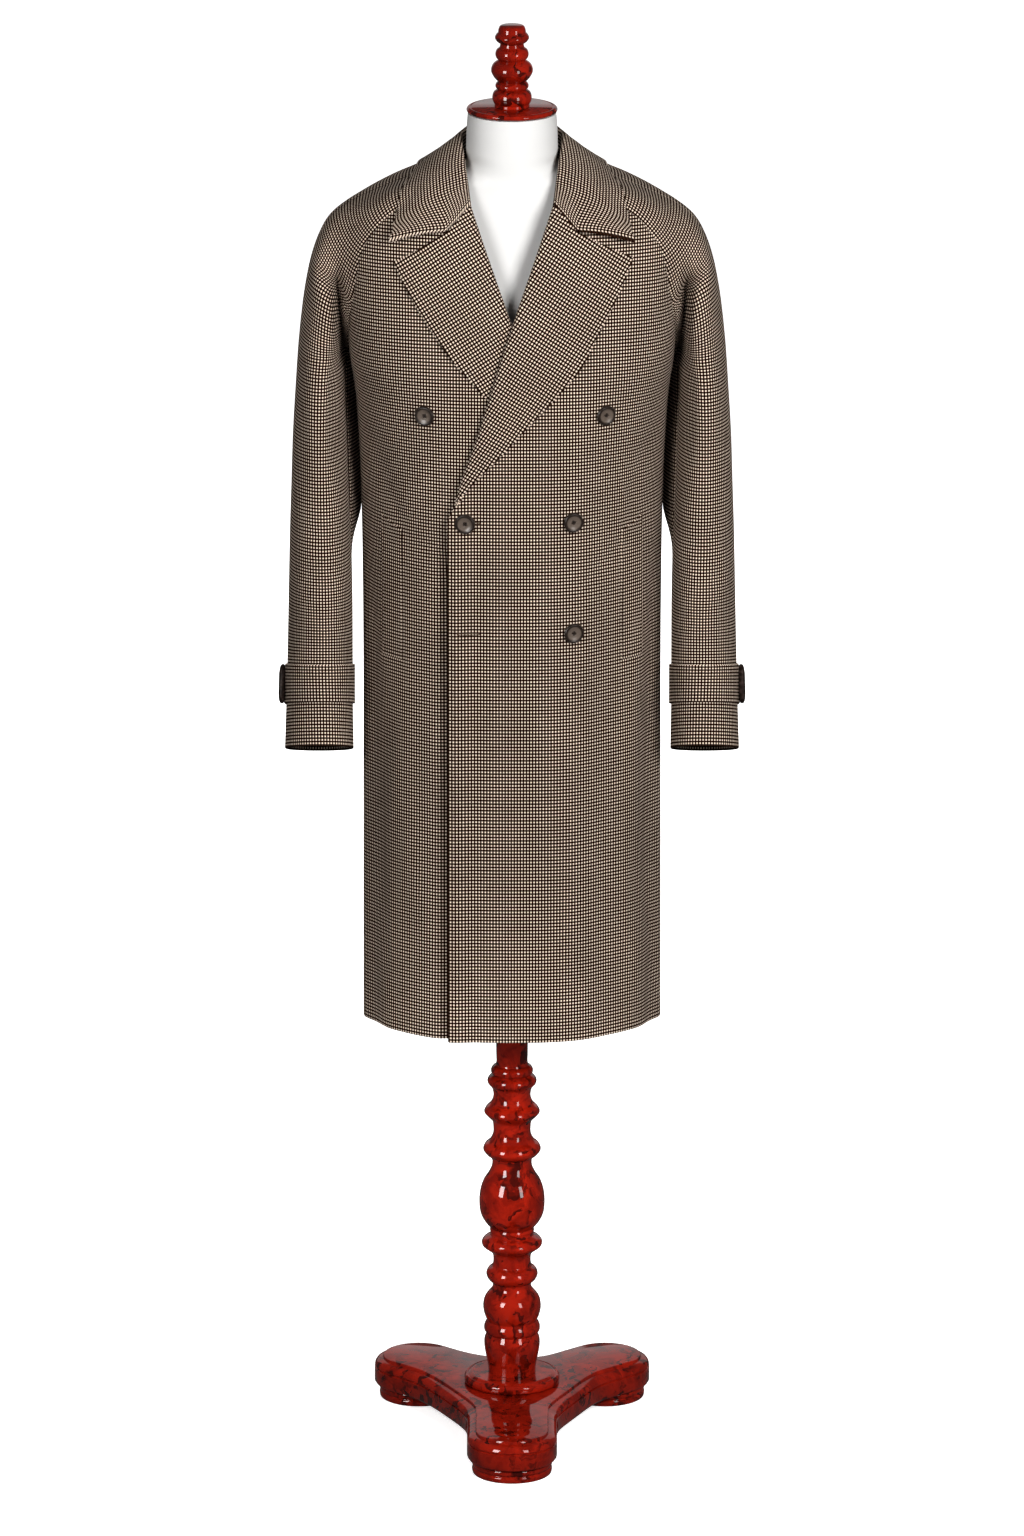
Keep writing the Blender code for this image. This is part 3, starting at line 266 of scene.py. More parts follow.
# Dress form: height, half width, depth to the front, depth to the back
FORM = np.array([
    (0.9300, 0.1480, 0.0960, 0.1180),
    (0.9360, 0.1540, 0.1010, 0.1230),
    (0.9900, 0.1580, 0.1030, 0.1270),
    (1.0800, 0.1480, 0.0970, 0.1180),
    (1.1700, 0.1380, 0.0960, 0.1080),
    (1.2700, 0.1520, 0.1080, 0.1160),
    (1.3600, 0.1700, 0.1170, 0.1270),
    (1.4400, 0.1780, 0.1120, 0.1280),
    (1.5100, 0.1800, 0.0980, 0.1160),
    (1.5650, 0.1780, 0.0780, 0.0960),
    (1.5950, 0.1700, 0.0640, 0.0800),
    (1.6071, 0.1600, 0.0600, 0.0720),
    (1.6161, 0.1410, 0.0580, 0.0660),
    (1.6266, 0.1130, 0.0570, 0.0620),
    (1.6322, 0.0880, 0.0565, 0.0600),
    (1.6370, 0.0680, 0.0562, 0.0585),
    (1.6440, 0.0590, 0.0560, 0.0575),
    (1.6600, 0.0570, 0.0558, 0.0570),
    (1.6850, 0.0560, 0.0555, 0.0560),
    (1.7055, 0.0545, 0.0545, 0.0545),
])
FORM_EASE = 0.0016        # the cover stays this far inside the rings under the shoulders
EASE_LOW, EASE_LOW_FADE, EASE_HIGH, EASE_HIGH_FADE = 1.35, 0.1, 1.66, 0.03
FORM_FINE_Z = 1.58        # above this height the rings lie closer

# Turned pieces: radius, height; a point given twice is a crisp corner, and both ends are flat
POST = ((0.0300, 0.0693), (0.0303, 0.0760), (0.0328, 0.0900), (0.0352, 0.1060), (0.0350, 0.1130),
        (0.0328, 0.1195), (0.0328, 0.1195), (0.0322, 0.1212), (0.0322, 0.1212), (0.0347, 0.1240),
        (0.0355, 0.1285), (0.0340, 0.1340), (0.0315, 0.1378), (0.0315, 0.1378), (0.0345, 0.1450),
        (0.0366, 0.1565), (0.0345, 0.1680), (0.0285, 0.1765), (0.0258, 0.1795), (0.0258, 0.1795),
        (0.0244, 0.1830), (0.0246, 0.1880), (0.0246, 0.1880), (0.0300, 0.1930), (0.0326, 0.2000),
        (0.0300, 0.2065), (0.0246, 0.2105), (0.0246, 0.2105), (0.0236, 0.2170), (0.0250, 0.2270),
        (0.0320, 0.2335), (0.0374, 0.2380), (0.0383, 0.2420), (0.0355, 0.2470), (0.0275, 0.2512),
        (0.0275, 0.2512), (0.0271, 0.2548), (0.0280, 0.2580), (0.0270, 0.2612), (0.0270, 0.2612),
        (0.0330, 0.2680), (0.0394, 0.2800), (0.0413, 0.2950), (0.0402, 0.3100), (0.0355, 0.3245),
        (0.0292, 0.3345), (0.0255, 0.3430), (0.0250, 0.3500), (0.0262, 0.3545), (0.0262, 0.3545),
        (0.0322, 0.3590), (0.0364, 0.3655), (0.0340, 0.3720), (0.0285, 0.3770), (0.0242, 0.3850),
        (0.0236, 0.3950), (0.0250, 0.4030), (0.0310, 0.4095), (0.0351, 0.4150), (0.0325, 0.4210),
        (0.0275, 0.4260), (0.0238, 0.4340), (0.0236, 0.4400), (0.0262, 0.4480), (0.0302, 0.4525),
        (0.0311, 0.4560), (0.0290, 0.4610), (0.0240, 0.4640), (0.0240, 0.4640), (0.0262, 0.4670),
        (0.0264, 0.4710), (0.0240, 0.4750), (0.0206, 0.4765), (0.0206, 0.4765), (0.0199, 0.4800),
        (0.0200, 0.4900), (0.0200, 0.7000), (0.0200, 0.9297))
FINIAL = ((0.0217, 1.7134), (0.0217, 1.7166), (0.0217, 1.7166), (0.0236, 1.7200), (0.0243, 1.7265),
          (0.0225, 1.7315), (0.0178, 1.7345), (0.0178, 1.7345), (0.0200, 1.7370), (0.0206, 1.7397),
          (0.0195, 1.7425), (0.0172, 1.7446), (0.0172, 1.7446), (0.0228, 1.7510), (0.0259, 1.7590),
          (0.0234, 1.7665), (0.0168, 1.7715), (0.0168, 1.7715), (0.0196, 1.7750), (0.0206, 1.7795),
          (0.0190, 1.7845), (0.0155, 1.7875), (0.0144, 1.7920), (0.0144, 1.7920), (0.0190, 1.7955),
          (0.0211, 1.8000), (0.0192, 1.8040), (0.0172, 1.8060), (0.0172, 1.8060), (0.0170, 1.8086),
          (0.0164, 1.8112), (0.0152, 1.8136), (0.0138, 1.8146))
NECK_CAP = ((0.0500, 1.7058), (0.0550, 1.7072), (0.0562, 1.7095), (0.0550, 1.7118), (0.0520, 1.7128),
            (0.0520, 1.7128), (0.0512, 1.7124), (0.0500, 1.7131))
BASE_DISC = ((0.0575, 0.0553), (0.0600, 0.0572), (0.0606, 0.0608), (0.0600, 0.0645), (0.0580, 0.0668),
             (0.0580, 0.0668), (0.0565, 0.0665), (0.0555, 0.0672), (0.0555, 0.0672), (0.0520, 0.0688),
             (0.0470, 0.0690))

# Base: leg ends as x, y from the post axis
LEGS = (("front", 0.0, -0.187), ("left", 0.119, 0.106), ("right", -0.119, 0.106))
LEG_HALF, LEG_BLEND = 0.0565, 0.0750
PAD_RADIUS, PAD_TOP = 0.0500, 0.0177
# Foot pad: inset from its radius, height
PAD = ((0.003, 0.0), (0.0006, 0.0008), (0.0, 0.0030), (0.0, 0.0070), (0.0012, 0.0082),
       (0.0012, 0.0092), (0.0002, 0.0104), (0.001, PAD_TOP - 0.0010), (0.004, PAD_TOP))
# Base edge: height, inset from the outline
BASE_EDGE = ((0.0180, 0.0040), (0.0186, 0.0020), (0.0215, 0.0), (0.0395, 0.0), (0.0402, 0.0016),
             (0.0414, 0.0016), (0.0421, 0.0003), (0.0450, 0.0008), (0.0480, 0.0028), (0.0500, 0.0060),
             (0.0509, 0.0096), (0.0511, 0.0106), (0.0530, 0.0108), (0.0543, 0.0116), (0.0550, 0.0140))

# Creases: across and up the cut piece, lean in degrees, half length, half width, height
CREASES = {
    "front_left": (
        (0.150, 0.30, 2, 0.24, 0.020, 0.0018), (0.192, 0.26, -2, 0.21, 0.015, -0.0021),
        (0.112, 0.16, 3, 0.14, 0.024, -0.0012), (0.128, 0.62, 58, 0.050, 0.012, -0.0012),
        (0.178, 0.73, 24, 0.070, 0.013, -0.0017), (0.205, 0.60, 8, 0.090, 0.012, 0.0014),
        (0.060, 0.33, -2, 0.22, 0.030, 0.0010),
    ),
    "front_right": (
        (-0.146, 0.33, -3, 0.22, 0.019, 0.0018), (-0.186, 0.28, 2, 0.23, 0.016, -0.0022),
        (-0.110, 0.20, -2, 0.15, 0.022, -0.0013), (-0.122, 0.65, -55, 0.045, 0.012, -0.0012),
        (-0.176, 0.71, -26, 0.065, 0.013, -0.0018), (-0.206, 0.57, -6, 0.100, 0.012, 0.0015),
        (-0.060, 0.60, -50, 0.040, 0.014, -0.0010),
    ),
    "back": (
        (0.070, 0.22, 2, 0.20, 0.022, -0.0022), (0.135, 0.26, -2, 0.23, 0.024, 0.0024),
        (-0.066, 0.25, -3, 0.21, 0.020, -0.0024), (-0.140, 0.22, 2, 0.20, 0.025, 0.0022),
        (0.105, 0.80, 28, 0.090, 0.016, -0.0022), (-0.110, 0.78, -30, 0.085, 0.016, -0.0024),
        (0.000, 0.62, 88, 0.080, 0.014, -0.0014), (0.020, 0.66, 84, 0.060, 0.012, 0.0010),
        (0.180, 0.60, 10, 0.110, 0.014, 0.0016), (-0.184, 0.57, -8, 0.120, 0.014, 0.0017),
    ),
    "sleeve_front": (
        (0.105, 0.40, 8, 0.060, 0.010, -0.0013), (0.088, 0.56, 66, 0.030, 0.008, -0.0013),
        (0.100, 0.60, 74, 0.026, 0.007, -0.0011), (0.062, 0.63, 55, 0.034, 0.010, 0.0011),
        (0.110, 0.68, 64, 0.026, 0.008, -0.0010), (0.040, 0.50, 10, 0.090, 0.014, 0.0010),
    ),
    "sleeve_back": (
        (0.060, 0.30, 20, 0.060, 0.012, -0.0016), (0.095, 0.42, 8, 0.080, 0.011, -0.0016),
        (0.085, 0.58, 72, 0.034, 0.009, -0.0015), (0.070, 0.62, 80, 0.030, 0.008, -0.0013),
        (0.100, 0.66, 62, 0.030, 0.009, 0.0012),
    ),
}


# Curves and surfaces of the coat

def curve(table, column, at):
    """Smooth values of one column of a table at values of its first column."""
    xs, ys = table[:, 0], table[:, column]
    if xs[0] > xs[-1]:
        xs, ys = xs[::-1], ys[::-1]
    steps = np.diff(xs)
    slopes = np.diff(ys) / steps
    bends = np.concatenate((slopes[:1], slopes, slopes[-1:]))[:len(ys)].copy()
    bends[-1] = slopes[-1]
    bends[1:-1] = (slopes[:-1] * steps[1:] + slopes[1:] * steps[:-1]) / (steps[:-1] + steps[1:])
    at = np.clip(at, xs[0], xs[-1])
    i = np.clip(np.searchsorted(xs, at) - 1, 0, len(xs) - 2)
    t = (at - xs[i]) / steps[i]
    return ((2 * t**3 - 3 * t**2 + 1) * ys[i] + (t**3 - 2 * t**2 + t) * steps[i] * bends[i]
            + (3 * t**2 - 2 * t**3) * ys[i + 1] + (t**3 - t**2) * steps[i] * bends[i + 1])


def by_row(table, column, row):
    """Smooth values of a column between the numbered rows of a table."""
    return curve(np.column_stack((np.arange(len(table)), table[:, column])), 1, row)


def ease(t):
    t = np.clip(t, 0.0, 1.0)
    return t * t * (3 - 2 * t)


def unit(v):
    return v / np.maximum(np.linalg.norm(v, axis=-1, keepdims=True), 1e-12)


def bezier(p0, p1, p2, p3, t):
    return (1 - t)**3 * p0 + 3 * t * (1 - t)**2 * p1 + 3 * t * t * (1 - t) * p2 + t**3 * p3


def with_close_ends(count, length, close=(0.0012, 0.0028, 0.0052)):
    """Steps from 0 to 1 along a length, with a few close to each end."""
    near = np.array(close) / length
    plain = np.linspace(0, 1, count)
    plain = plain[(plain > near[-1] * 1.3) & (plain < 1 - near[-1] * 1.3)]
    return np.concatenate(((0.0,), near, plain, 1 - near[::-1], (1.0,)))


def body_base(angle, z):
    """Points of the plain body form; angle 0 is the middle front, 90 the +X side, 180 the back."""
    angle, z = np.broadcast_arrays(np.asarray(angle, float), np.asarray(z, float))
    half, front, back, sides = (curve(BODY, c, z) for c in (1, 2, 3, 4))
    s, c = np.sin(np.radians(angle)), np.cos(np.radians(angle))
    wide, deep = np.where(c > 0, FRONT_POWER, BACK_POWER), np.where(c > 0, sides, BACK_POWER)
    x = half * np.sign(s) * np.abs(s) ** (2 / wide)
    y = np.where(c > 0, -front, back) * np.abs(c) ** (2 / deep)
    return np.stack((x, y, z), -1)


def body_normal(angle, z):
    z = np.asarray(z, float)
    across = body_base(angle + NORMAL_TURN, z) - body_base(angle - NORMAL_TURN, z)
    above = np.minimum(z + NORMAL_RISE, BODY[-1, 0])
    up = body_base(angle, above) - body_base(angle, z - NORMAL_RISE)
    return unit(np.cross(across, up))


def body_fold(angle, z):
    total = 0.0
    for centre, half, depth, top, bottom in BODY_FOLDS:
        away = (angle - centre + 180) % 360 - 180
        along = ease((top - z) / FOLD_TOP_FADE) * ease((z - bottom) / FOLD_LOW_FADE)
        total = total + depth * along * np.exp(-(away / half) ** 2)
    return total


def body_surface(angle, z, out=0.0):
    return body_base(angle, z) + body_normal(angle, z) * np.asarray(out + body_fold(angle, z))[..., None]


def angle_of(x, z):
    share = np.minimum(np.abs(x / curve(BODY, 1, z)), 1.0)
    return np.sign(x) * np.degrees(np.arcsin(share ** (FRONT_POWER / 2)))


def roll_x(z):
    return curve(LAPEL, 1, z)


# Lengths over the body form, so that the weave keeps its size: round from the front, and up from the hem
CUT_ANGLES = 180 * np.linspace(0, 1, 481) ** 2
CUT_HEIGHTS = np.linspace(BODY[0, 0], BODY[-1, 0], 120)
cut_points = body_base(CUT_ANGLES[None, :], CUT_HEIGHTS[:, None])
CUT_ROUND = np.pad(np.cumsum(np.linalg.norm(np.diff(cut_points, axis=1), axis=2), axis=1), ((0, 0), (1, 0)))
CUT_UP = np.pad(np.cumsum(np.linalg.norm(np.diff(cut_points, axis=0), axis=2), axis=0), ((1, 0), (0, 0)))


def from_cut(table, angle, z):
    """Value of a table over the body form at any angle and height."""
    a = np.clip(np.sqrt(np.abs(angle) / 180) * (len(CUT_ANGLES) - 1), 0, len(CUT_ANGLES) - 1.001)
    h = (z - CUT_HEIGHTS[0]) / (CUT_HEIGHTS[-1] - CUT_HEIGHTS[0]) * (len(CUT_HEIGHTS) - 1)
    h = np.clip(h, 0, len(CUT_HEIGHTS) - 1.001)
    i, j = a.astype(int), h.astype(int)
    p, q = a - i, h - j
    return ((1 - q) * ((1 - p) * table[j, i] + p * table[j, i + 1])
            + q * ((1 - p) * table[j + 1, i] + p * table[j + 1, i + 1]))


def cut_place(angle, z):
    """Place in the flat cut: round from the middle of the front, up from the hem."""
    angle, z = np.broadcast_arrays(np.asarray(angle, float), np.asarray(z, float))
    return np.stack((np.sign(angle) * from_cut(CUT_ROUND, angle, z), from_cut(CUT_UP, angle, z)), -1)


def crease(name, across, up):
    """Height of a piece's creases: soft troughs and ridges at places of its cut."""
    total = np.zeros(np.shape(across))
    for middle, height, lean, half_long, half_wide, depth in CREASES[name]:
        s, c = math.sin(math.radians(lean)), math.cos(math.radians(lean))
        along = (across - middle) * s + (up - height) * c
        aside = (across - middle) * c - (up - height) * s
        bow = aside - CREASE_BOW * along**2 / half_long
        width = half_wide * (1 + CREASE_SPREAD * np.clip(along / half_long, -1, 1))
        total += depth * np.exp(-(bow / width) ** 2) * np.exp(-(along / half_long) ** 4)
    return total


def front_lift(side, angle, z):
    """How far a front stands outside the body form: the upper front (+1) laps over the under one."""
    if side < 0:
        sunk = ease((LAP_DIP_FROM - angle) / (LAP_DIP_FROM - LAP_DIP_FULL))
        return -LAP_DIP * sunk * ease((DIP_TOP - z) / DIP_FADE)
    lift = LAP * ease((LAP_FADE - angle) / (LAP_FADE - LAP_EDGE))
    lift = lift + LAP_STAND * ease(1 - (angle + LAP_EDGE) / LAP_STAND_FADE)
    x = body_base(angle, z)[..., 0]
    near = ease(1 - (x - roll_x(np.maximum(z, LAPEL[0, 0]))) / ROLL_REACH)
    low, high = ease((z - ROLL_LOW) / ROLL_LOW_FADE), ease((ROLL_HIGH - z) / ROLL_HIGH_FADE)
    return lift + ROLL_LIFT * near * low * high


def front_surface(side, angle, z, out=0.0):
    """Points over one front and its normals, from angles of the +X front; side -1 mirrors them."""
    mirror = np.array((side, 1, 1))
    normal = body_normal(angle, z)
    place = cut_place(side * angle, z)
    name = "front_left" if side > 0 else "front_right"
    height = out + body_fold(side * angle, z) + front_lift(side, angle, z)
    below_top = ease((FRONT_CREASE_TOP - z) / FRONT_CREASE_FADE)
    height = height + crease(name, place[..., 0], place[..., 1]) * below_top
    return (body_base(angle, z) + normal * height[..., None]) * mirror, normal * mirror


def on_front(side, x, z, out):
    """Points at a height over one front, from x and z of the +X front."""
    return front_surface(side, angle_of(x, z), np.asarray(z, float), np.asarray(out, float))


def seam_line(row, face):
    table = FRONT_SEAM if face < 0 else BACK_SEAM
    return by_row(table, 0, row), by_row(table, 1, row)


def panel_heights(top, lower=46, upper=52):
    """Heights of the rows of a panel for columns with these tops."""
    top = np.maximum(top, PLAIN_TOP + 0.02)[None, :]
    low = HEM_Z + (PLAIN_TOP - HEM_Z) * with_close_ends(lower, PLAIN_TOP - HEM_Z)[:-4, None]
    high = PLAIN_TOP + (top - PLAIN_TOP) * with_close_ends(upper, 0.3)[3:, None]
    return np.concatenate((np.broadcast_to(low, (len(low), top.shape[1])), high))


def seam_groove(away):
    return -SEAM_DIP * np.exp(-(away / SEAM_WIDE) ** 2)


def front_grid(side):
    """Outer points, normals and cut places of a front, side seam to front edge, hem to top."""
    rows = np.concatenate((CLOSE_ROWS, np.linspace(9.5, 0, 62)))
    seam_angle, seam_top = seam_line(rows, -1)
    neck_z = LAPEL[-1, 0] - NECK_DROP
    neck = angle_of(LAPEL[-1, 1] + ROLL_INSET, neck_z)
    to_neck = np.linspace(0, 1, 7)[1:]
    neck_angle = seam_angle[-1] + (neck - seam_angle[-1]) * to_neck
    neck_top = seam_top[-1] + (neck_z - seam_top[-1]) * to_neck
    roll_z = np.linspace(neck_z, ROLL_END_Z, 60)[1:]
    roll_angle = angle_of(roll_x(roll_z) + ROLL_INSET, roll_z)
    to_edge = with_close_ends(6, EDGE_RUN)[1:]
    edge_angle = roll_angle[-1] + (-LAP_EDGE - roll_angle[-1]) * to_edge
    edge_top = roll_z[-1] + (BREAK_Z + EDGE_RISE - roll_z[-1]) * to_edge
    angle = np.concatenate((seam_angle, neck_angle, roll_angle, edge_angle))
    top = np.concatenate((seam_top - SEAM_GAP, neck_top, roll_z, edge_top))
    z = panel_heights(top)
    angles = np.broadcast_to(angle, z.shape)
    sewn = np.zeros(z.shape)
    sewn[:, :len(rows)] = seam_groove((top - z)[:, :len(rows)] * SEAM_SLANT)
    side_away = from_cut(CUT_ROUND, np.full(z.shape, 90.0), z) - from_cut(CUT_ROUND, angles, z)
    outer, normals = front_surface(side, angles, z, sewn + seam_groove(side_away))
    outer[:, 0, 1] -= HALF_SEAM
    return outer, normals, cut_place(side * angles, z)


def back_grid():
    """Outer points, normals and cut places of the back, side seam to side seam, hem to top."""
    rows = np.concatenate((CLOSE_ROWS, np.linspace(9.5, 0, 46)))
    angle, top = seam_line(rows, 1)
    neck = np.array([BACK_SEAM[0], *BACK_NECK])
    neck_angle = np.linspace(BACK_SEAM[0, 0], 180, 13)[1:]
    angle = np.concatenate((angle, neck_angle))
    top = np.concatenate((top, curve(neck, 1, neck_angle))) - SEAM_GAP
    side = np.concatenate((np.ones(len(angle)), -np.ones(len(angle) - 1)))
    angle, top = np.concatenate((angle, angle[-2::-1])), np.concatenate((top, top[-2::-1]))
    z = panel_heights(top, 44, 46)
    angles = np.broadcast_to(angle, z.shape)
    round_from = from_cut(CUT_ROUND, np.full(z.shape, 180.0), z) - from_cut(CUT_ROUND, angles, z)
    cut = np.stack((side * round_from, from_cut(CUT_UP, angles, z)), -1)
    side_away = from_cut(CUT_ROUND, angles, z) - from_cut(CUT_ROUND, np.full(z.shape, 90.0), z)
    lines = crease("back", cut[..., 0], cut[..., 1]) * ease((BACK_CREASE_TOP - z) / BACK_CREASE_FADE)
    height = (body_fold(side * angles, z) + lines
              + seam_groove((top - z) * SEAM_SLANT) + seam_groove(side_away))
    mirror = np.stack((side, np.ones(len(side)), np.ones(len(side))), -1)
    normals = body_normal(angles, z)
    outer = (body_base(angles, z) + normals * height[..., None]) * mirror
    outer[:, (0, -1), 1] += HALF_SEAM
    return outer, normals * mirror, cut


def grid_normals(grid):
    return unit(np.cross(np.gradient(grid, axis=1), np.gradient(grid, axis=0)))


def yoke_part(row, face, t):
    """Points across the shoulder, t 0 at the overarm, 1 at the raglan seam; face -1 front, +1 back."""
    x, y, z, ridge_front, ridge_back, seam_front, seam_back, turned = (by_row(YOKE, c, row) for c in range(8))
    ridge = np.stack((x, y, z), -1)
    angle, height = seam_line(row, face)
    end = body_surface(angle, height)
    after, before = np.minimum(row + 1, LAST_SEAM), np.maximum(row - 1, 0)
    along = body_surface(*seam_line(after, face)) - body_surface(*seam_line(before, face))
    away = unit(np.cross(along, body_normal(angle, height))) * (-face)
    away = np.where(((away * (ridge - end)).sum(-1) < 0)[:, None] & (row < LAST_SEAM)[:, None], -away, away)
    side = np.array((0.0, face, 0.0))
    lean = unit((1 - turned)[:, None] * away + turned[:, None] * side)
    ridge_handle = (ridge_front if face < 0 else ridge_back)[:, None]
    seam_handle = (seam_front if face < 0 else seam_back)[:, None]
    corners = (ridge, ridge + side * ridge_handle, end + lean * seam_handle, end)
    return bezier(*(p[:, None, :] for p in corners), t[None, :, None])


def arm_part(z, face, t):
    """Points round half of the arm at these heights, t 0 at the overarm, 1 at the underarm."""
    over, under, middle, front, back = (curve(ARM, c, z) for c in (1, 2, 3, 4, 5))
    side = np.array((0.0, face, 0.0))
    handle = ((front if face < 0 else back) / 0.75)[:, None]
    ridge, end = np.stack((over, middle, z), -1), np.stack((under, middle, z), -1)
    lean = LEAN_IN * ease((LEAN_TOP - z) / LEAN_TOP_FADE) * ease((z - LEAN_LOW) / LEAN_LOW_FADE) * (face > 0)
    outer_round, inner_round = (OUTER_ROUND, INNER_ROUND) if face < 0 else (1.0, 1.0)
    inner = end + side * handle * inner_round - lean[:, None] * np.array((1.0, 0.0, 0.0))
    corners = (ridge, ridge + side * handle * outer_round, inner, end)
    points = bezier(*(p[:, None, :] for p in corners), t[None, :, None])
    tilt = CUFF_TILT * ease((TILT_FROM - z) / (TILT_FROM - TILT_FULL))
    points[..., 2] -= tilt[:, None] * (points[..., 1] - middle[:, None])
    return points


def run_lengths(grid, axis):
    steps = np.linalg.norm(np.diff(grid, axis=axis), axis=2)
    return np.pad(np.cumsum(steps, axis=axis), ((1, 0), (0, 0)) if axis == 0 else ((0, 0), (1, 0)))


def sleeve_grid(side, face):
    """Outer points, normals and cut places of half a sleeve, neck to cuff, overarm to underarm."""
    row = with_close_ends(58, 0.35)[:-3] * LAST_SEAM
    z = ARM_TOP + (CUFF_Z - ARM_TOP) * with_close_ends(60, ARM_TOP - CUFF_Z)[3:]
    t = with_close_ends(44, 0.20, (0.0009, 0.0022, 0.0045))
    points = np.concatenate((yoke_part(row, face, t), arm_part(z, face, t)))
    across, down = run_lengths(points, 1), run_lengths(points, 0)[:, :1]
    normals = -face * grid_normals(points)
    last = len(row) - 1
    level = np.tile((0.0, 1.0, 0.0), (len(points), 1))
    ridge = unit(np.cross(level, np.gradient(points[:, 0], axis=0)))
    normals[:, 0] = ridge * np.sign(ridge[last, 0])
    under = unit(np.cross(np.gradient(points[:, -1], axis=0), level))
    normals[last:, -1] = under[last:] * -np.sign(under[-1, 0])
    if face < 0:
        for middle, half, depth, top, low in SLEEVE_FOLDS:
            here = points[..., 2]
            push = depth * np.exp(-((t - middle) / half) ** 2) * ease((top - here) / SLEEVE_FOLD_TOP)
            push = push * ease((here - low) / SLEEVE_FOLD_LOW) * ease((1 - t) / SLEEVE_FOLD_END)
            points = points + normals * push[..., None]
        x, _, here = np.moveaxis(points, -1, 0)
        deep = ARMHOLE_DEEP * np.exp(-((x - curve(ARMHOLE_FOLD, 1, here)) / ARMHOLE_WIDE) ** 2)
        deep = deep * ease((ARMHOLE_TOP - here) / ARMHOLE_TOP_FADE)
        deep = deep * ease((here - ARM_TOP + ARMHOLE_BELOW) / ARMHOLE_LOW_FADE)
        points[..., 1] += deep * ease((1 - t) / ARMHOLE_END)
    lines = crease("sleeve_front" if face < 0 else "sleeve_back", across, np.broadcast_to(down, across.shape))
    above_strap = ease((points[..., 2] - STRAP_HIGH - STRAP_CLEAR) / STRAP_FADE)
    lines *= above_strap * ease(across / CREASE_SEAM_FADE)
    lines *= ease((across[:, -1:] - across) / CREASE_SEAM_FADE)
    sewn = normals.copy()
    sewn[:len(row)] = body_normal(*seam_line(row, face))[:, None, :]
    points = points + normals * (lines + seam_groove(across) * OVERARM_GROOVE)[..., None]
    points = points + sewn * seam_groove(across[:, -1:] - across)[..., None]
    points[:, 0, 1] += face * HALF_SEAM
    points[last:, -1, 1] += face * HALF_SEAM
    cut = np.stack((side * face * across, -np.broadcast_to(down, across.shape)), -1)
    mirror = np.array((side, 1, 1))
    return points * mirror, normals * mirror, cut


# Meshes

def add_mesh(name, points, faces, look, uv=None, crisp=None):
    """Mesh object from points about the post axis, shaded smooth but for edges over a crisp angle."""
    mesh = bpy.data.meshes.new(name)
    mesh.from_pydata((np.asarray(points) + POST_AXIS).tolist(), [], faces)
    if uv is not None:
        corners = np.empty(len(mesh.loops), np.int32)
        mesh.loops.foreach_get("vertex_index", corners)
        mesh.uv_layers.new(name="weave").data.foreach_set("uv", np.asarray(uv)[corners].ravel())
    mesh.shade_smooth()
    if crisp is not None:
        mesh.set_sharp_from_angle(angle=math.radians(crisp))
    mesh.materials.append(look)
    made = bpy.data.objects.new(name, mesh)
    bpy.context.scene.collection.objects.link(made)
    return made


def settle_in(piece, slot, *nodes):
    """The piece rides with the solids and stands for the named nodes, which it hides; the slot is not used.
    """
    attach(piece, "root")
    if nodes:
        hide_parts(*nodes)
    return piece


def cloth_shell(node, grid, thick, rounded):
    """Closed thin shell under a grid of points. Free edges named in rounded get a soft fold."""
    outer, normals, cut = grid
    rows, cols = outer.shape[:2]
    index = np.arange(rows * cols).reshape(rows, cols)
    away, swell = np.zeros_like(outer), np.zeros((rows, cols, 1))
    for side, edge, inside in (("low", np.s_[0], np.s_[1]), ("high", np.s_[-1], np.s_[-2]),
                               ("first", np.s_[:, 0], np.s_[:, 1]), ("last", np.s_[:, -1], np.s_[:, -2])):
        away[edge] += unit(outer[edge] - outer[inside])
        if side in rounded:
            swell[edge] = thick * 0.45
    inner = outer - normals * thick
    loop = np.concatenate((index[0], index[1:, -1], index[-1, -2::-1], index[-2:0:-1, 0]))
    rim = (outer - normals * thick / 2 + unit(away) * swell).reshape(-1, 3)[loop]
    count = rows * cols
    places = cut.reshape(-1, 2)
    points = np.concatenate((outer.reshape(-1, 3), inner.reshape(-1, 3), rim))
    uv = np.concatenate((places, places, places[loop]))

    a, b, c, d = (part.ravel() for part in (index[:-1, :-1], index[:-1, 1:], index[1:, 1:], index[1:, :-1]))
    ring = 2 * count + np.arange(len(loop))
    loop_on, ring_on = np.roll(loop, -1), np.roll(ring, -1)
    faces = np.concatenate((
        np.stack((a, b, c, d), 1), np.stack((a, d, c, b), 1) + count,
        np.stack((loop_on, loop, ring, ring_on), 1),
        np.stack((ring_on, ring, loop + count, loop_on + count), 1)))
    r, k = rows // 2, cols // 2
    facing = np.cross(outer[r, k + 1] - outer[r, k], outer[r + 1, k] - outer[r, k])
    if np.dot(facing, normals[r, k]) < 0:
        faces = faces[:, ::-1]
    shell = add_mesh(node + "_cloth", points, faces.tolist(), look_of(wool_check), uv, crisp=58)
    return settle_in(shell, "coat_cloth", node)


def search_tree(*pieces):
    """Search tree over pieces, about the post axis."""
    points, faces = [], []
    for piece in pieces:
        first = len(points)
        points += [tuple(np.array(v.co) - POST_AXIS) for v in piece.data.vertices]
        faces += [tuple(first + i for i in p.vertices) for p in piece.data.polygons]
    return BVHTree.FromPolygons(points, faces)


def height_over(tree, point, up, reach=0.05):
    """Height of a point over what lies under it along -up, or None."""
    start = Vector(point + up * reach)
    hit = tree.ray_cast(start, Vector(-up), reach + 0.03)[0]
    return None if hit is None else float(np.dot(point - np.array(hit), up))


